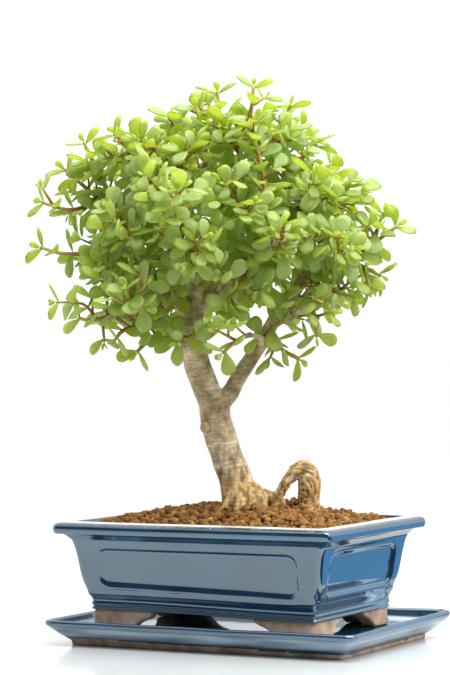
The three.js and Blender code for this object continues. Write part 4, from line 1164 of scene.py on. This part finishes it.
LEAF_ATTRIBUTES = ("tone", "young", "rim")
ball = make_ball()
round_spots = np.array([vert.co for vert in ball.vertices])
reach_of_spots = np.hypot(round_spots[:, 0], round_spots[:, 1])


def add_leaf(bm, leaf, random):
    """One fleshy blade: a flattened ball drawn out into an egg shape. It folds a little along its
    middle, curls along its length and comes to a soft point."""
    length, width = leaf["length"], leaf["width"] * (0.9 + 0.22 * random())
    thickness = (0.85 + 0.35 * random()) * min(1.0, length / 12)
    curl = 0.16 * random() - 0.02
    fold = 0.24 * random() - 0.04
    pointed = 0.42 * random()
    tone = 0.15 + 0.8 * random()
    x, y, z = round_spots.T
    tip = pointed * smooth_ramp(0.5, 1.0, x)
    lengthwise = 0.5 + 0.5 * x + 0.12 * tip
    sideways = y * (0.84 + 0.6 * x) * (1 - 0.75 * tip)
    bend = curl * length * (0.3 - lengthwise * lengthwise) + fold * width * np.abs(sideways)
    height = np.sign(z) * np.abs(z) ** 0.8 * thickness * (0.55 + 0.45 * smooth_ramp(0, 0.35, lengthwise))
    spots = leaf["spot"] + np.outer(lengthwise * length * 0.99, leaf["direction"])
    spots += np.outer(sideways * width / 2, leaf["across"]) + np.outer(bend + height, leaf["facing"])
    ball.vertices.foreach_set("co", spots.ravel())
    for key, values in (("tone", tone), ("young", leaf["young"]), ("rim", reach_of_spots)):
        ball.attributes[key].data.foreach_set("value", np.broadcast_to(values, len(x)).astype(np.float32))
    bm.from_mesh(ball)


def add_stem(bm, layers, points, base, tip, random):
    radii = [base + (tip - base) * i / (len(points) - 1) for i in range(len(points))]
    rows = smooth_line(points, radii, 4.0)
    made = add_tube(bm, rows, 8)
    start, end = Vector(rows[0][:3]), Vector(rows[-1][:3])
    span = max(1.0, (end - start).length)
    for vert in made:
        vert[layers["young"]] = min(1.0, (vert.co - start).length / span) * 0.8
        vert[layers["tone"]] = random()
        for face in vert.link_faces:
            face.material_index = 1


def tip_leaves(points, random, spin):
    """The tiny upright pair at a shoot's tip."""
    spot, tangent, across = along(points, 1)
    result = []
    for flip in (0, math.pi):
        side = turned(across, tangent, spin + math.pi / 2 + flip)
        spread, roll, length = 0.85 + 0.4 * random(), 0.8 * (random() - 0.5), 5 + 3.5 * random()
        leaf = leaf_frame(spot, tangent, side, spread, roll, length)
        leaf["young"] = 1.0
        result.append(leaf)
    return result


# The share of short shoots that end in a tiny new pair.
TIPPED_SHARE = 0.4


def short_shoots(points, random, clearance, spacing, reach_scale, spin, first=0.0):
    """Short leafy shoots up a stem, each a golden angle round it from the last."""
    shoots, leaves = [], []
    count = int(line_length(points) * (1 - first) / spacing)
    for s in range(count):
        fraction = first + (1 - first) * (s + 0.4) / count
        spot, tangent, across = along(points, fraction)
        outward = unit(spot - CROWN_CENTRE)
        side = turned(across, tangent, spin + s * GOLDEN_ANGLE + 0.8)
        direction = unit(side + 0.6 * tangent + 0.35 * outward)
        reach = (7 + 9 * random() * (1 - 0.5 * fraction)) * reach_scale
        end = spot + direction * (reach + 9)
        if crown_reach(end) > 1.04 or hides_trunk(end):
            continue
        shoot = [spot, spot + direction * reach]
        turn = 6.28 * random()
        made = stem_leaves(
            shoot, random, turn, clearance, pair_step=1, facing=FLATTER, thickness=1.1, wood_gap=0.4
        )
        if made:
            shoots.append(shoot)
            leaves += made
            if random() < TIPPED_SHARE:
                leaves += tip_leaves(shoot, random, turn)
    return shoots, leaves


# Branches with leafy spurs of their own, and the fraction of each where the spurs begin.
SPURRED = {
    "left_leader": 0.05, "right_leader": 0.2, "right_branch": 0.52, "right_back": 0.2, "left_low": 0.2,
    "left_middle": 0.15, "left_back": 0.25, "left_high": 0.1, "back_centre": 0.15, "back_top": 0.1,
    "front_left": 0.15, "front_right": 0.15, "top_centre": 0.1, "right_top": 0.1, "right_back_top": 0.1,
    "top_left": 0.1, "low_right": 0.5,
}


def make_foliage(name, leaves, stems, shoots, random, *nodes):
    bm = bmesh.new()
    for leaf in leaves:
        add_leaf(bm, leaf, random)
    layers = {key: bm.verts.layers.float[key] for key in LEAF_ATTRIBUTES}
    for k, points in enumerate(stems):
        base, tip = (1.7, 1.1) if k == 0 else (1.15, 0.85)
        add_stem(bm, layers, points, base, tip, random)
    for points in shoots:
        add_stem(bm, layers, points, 0.9, 0.65, random)
    bmesh.ops.remove_doubles(bm, verts=bm.verts, dist=1e-5)
    bmesh.ops.recalc_face_normals(bm, faces=bm.faces)
    make_piece(name, bm, TREE_PLACE, [leaf_skin, stem_skin], "leaf", *nodes)


def make_sprays():
    random = SeededNumbers(20240611)
    stems_by_spray = spray_stems()
    clearance = Clearance(stems_by_spray)
    leaves = {}
    spins = {}
    for name, stems in stems_by_spray.items():
        leaves[name] = []
        for k, points in enumerate(stems):
            spin = 0 if k == 0 else 2 * math.pi * random()
            spins[name, k] = spin
            leaves[name] += stem_leaves(points, random, spin, clearance)

    for name, stems in stems_by_spray.items():
        for k, points in enumerate(stems):
            leaves[name] += stem_leaves(
                points, random, spins[name, k], clearance, first_pair=1, facing=FLATTER, thickness=1.6,
                wood_gap=0.6,
            )
            leaves[name] += tip_leaves(points, random, spins[name, k])

    shoots = {name: [] for name in stems_by_spray}
    for turn in (0.0, 2.0):
        for name, stems in stems_by_spray.items():
            for k, points in enumerate(stems):
                made, grown = short_shoots(points, random, clearance, 8, 1.0, spins[name, k] + turn)
                shoots[name] += made
                leaves[name] += grown

    spurs = {name: ([], []) for name in SPURRED}
    for turn in (0.0, 2.0, 4.0):
        for name, first in SPURRED.items():
            made, grown = short_shoots(WOOD[name][0], random, clearance, 7, 1.5, turn, first)
            spurs[name][0].extend(made)
            spurs[name][1].extend(grown)

    for name, stems in stems_by_spray.items():
        make_foliage(f"leafy_{name}", leaves[name], stems, shoots[name], random, f"spray_{name}")
    for name, (made, grown) in spurs.items():
        make_foliage(f"spurs_{name}", grown, [], made, random)


make_sprays()
bpy.data.meshes.remove(ball)

# ------------------------------------------------------------------ floor and light


def make_floor():
    # The table ends out of the picture: in front, and along an edge that runs away on the right.
    bm = bmesh.new()
    bmesh.ops.create_grid(bm, x_segments=1, y_segments=1, size=1.0)
    for vert in bm.verts:
        away = 30.0 if vert.co.y > 0 else -0.5
        across = 0.17 + 0.2 * away if vert.co.x > 0 else -8.0
        vert.co = (across, away, 0.0)
    bmesh.ops.rotate(bm, verts=bm.verts, matrix=Matrix.Rotation(TREE_TURN, 3, "Z"))
    mesh = bpy.data.meshes.new("floor")
    bm.to_mesh(mesh)
    bm.free()
    material, _, shader = new_material("white_acrylic_table")
    set_sockets(shader, Roughness=0.16, IOR=1.45)
    shader.inputs["Base Color"].default_value = colour("#dde0e0")
    mesh.materials.append(material)
    floor = bpy.data.objects.new("floor", mesh)
    bpy.context.scene.collection.objects.link(floor)
    floor.location.z = -0.0002


def make_world():
    """A white backdrop and ceiling behind the table; a dark room below it and on the camera's side."""
    world = bpy.data.worlds.new("studio")
    world.use_nodes = True
    tree = world.node_tree
    tree.nodes.clear()
    direction = add(tree, "ShaderNodeTexCoord").outputs["Generated"]
    behind = add(
        tree,
        "ShaderNodeVectorMath",
        {0: direction, 1: (-math.sin(TREE_TURN), math.cos(TREE_TURN), 0.35)},
        operation="DOT_PRODUCT",
    )
    height = add(tree, "ShaderNodeSeparateXYZ", {"Vector": direction}).outputs["Z"]
    back_part = add(
        tree, "ShaderNodeMapRange", {"Value": behind.outputs["Value"], "From Min": -0.3, "From Max": 0.15}
    )
    high_part = add(tree, "ShaderNodeMapRange", {"Value": height, "From Min": -0.06, "From Max": 0.0})
    amount = add(
        tree,
        "ShaderNodeMath",
        {0: back_part.outputs["Result"], 1: high_part.outputs["Result"]},
        operation="MULTIPLY",
    )
    shade = add(
        tree,
        "ShaderNodeMix",
        {0: amount.outputs["Value"], 6: (0.03, 0.045, 0.065, 1), 7: (1.0, 1.0, 0.99, 1)},
        data_type="RGBA",
    )
    background = add(tree, "ShaderNodeBackground", {"Color": shade.outputs[2], "Strength": 1.2})
    output = add(tree, "ShaderNodeOutputWorld")
    tree.links.new(background.outputs["Background"], output.inputs["Surface"])
    bpy.context.scene.world = world


def make_softbox(name, spot, aim, size, power, tint=(1.0, 1.0, 1.0)):
    data = bpy.data.lights.new(name, "AREA")
    data.shape = "RECTANGLE"
    data.size, data.size_y = size
    data.energy = power
    data.color = tint
    light = bpy.data.objects.new(name, data)
    bpy.context.scene.collection.objects.link(light)
    light.location = spot
    light.rotation_euler = (Vector(aim) - Vector(spot)).to_track_quat("-Z", "Y").to_euler()


make_floor()
make_world()
make_softbox("key_light", (0.55, -0.35, 1.4), (0.0, 0.0, 0.2), (0.9, 0.9), 19.0)
make_softbox("right_light", (1.03, -0.01, 0.9), (0.0, 0.0, 0.15), (0.5, 0.5), 5.0)
make_softbox("top_light", (0.0, 0.1, 1.2), (0.0, 0.0, 0.2), (1.2, 1.2), 8.0)
make_softbox("side_light", (1.0, 0.0, 0.32), (0.0, 0.0, 0.08), (0.8, 0.5), 2.0)
# A dim panel low on the right, the blue of daylight, that the pot's right wall mirrors.
make_softbox("blue_panel", (0.475, 0.88, -0.11), (0.06, 0.0, 0.05), (0.6, 0.36), 0.85, (0.22, 0.57, 1.0))

bpy.context.scene.view_settings.view_transform = "Standard"
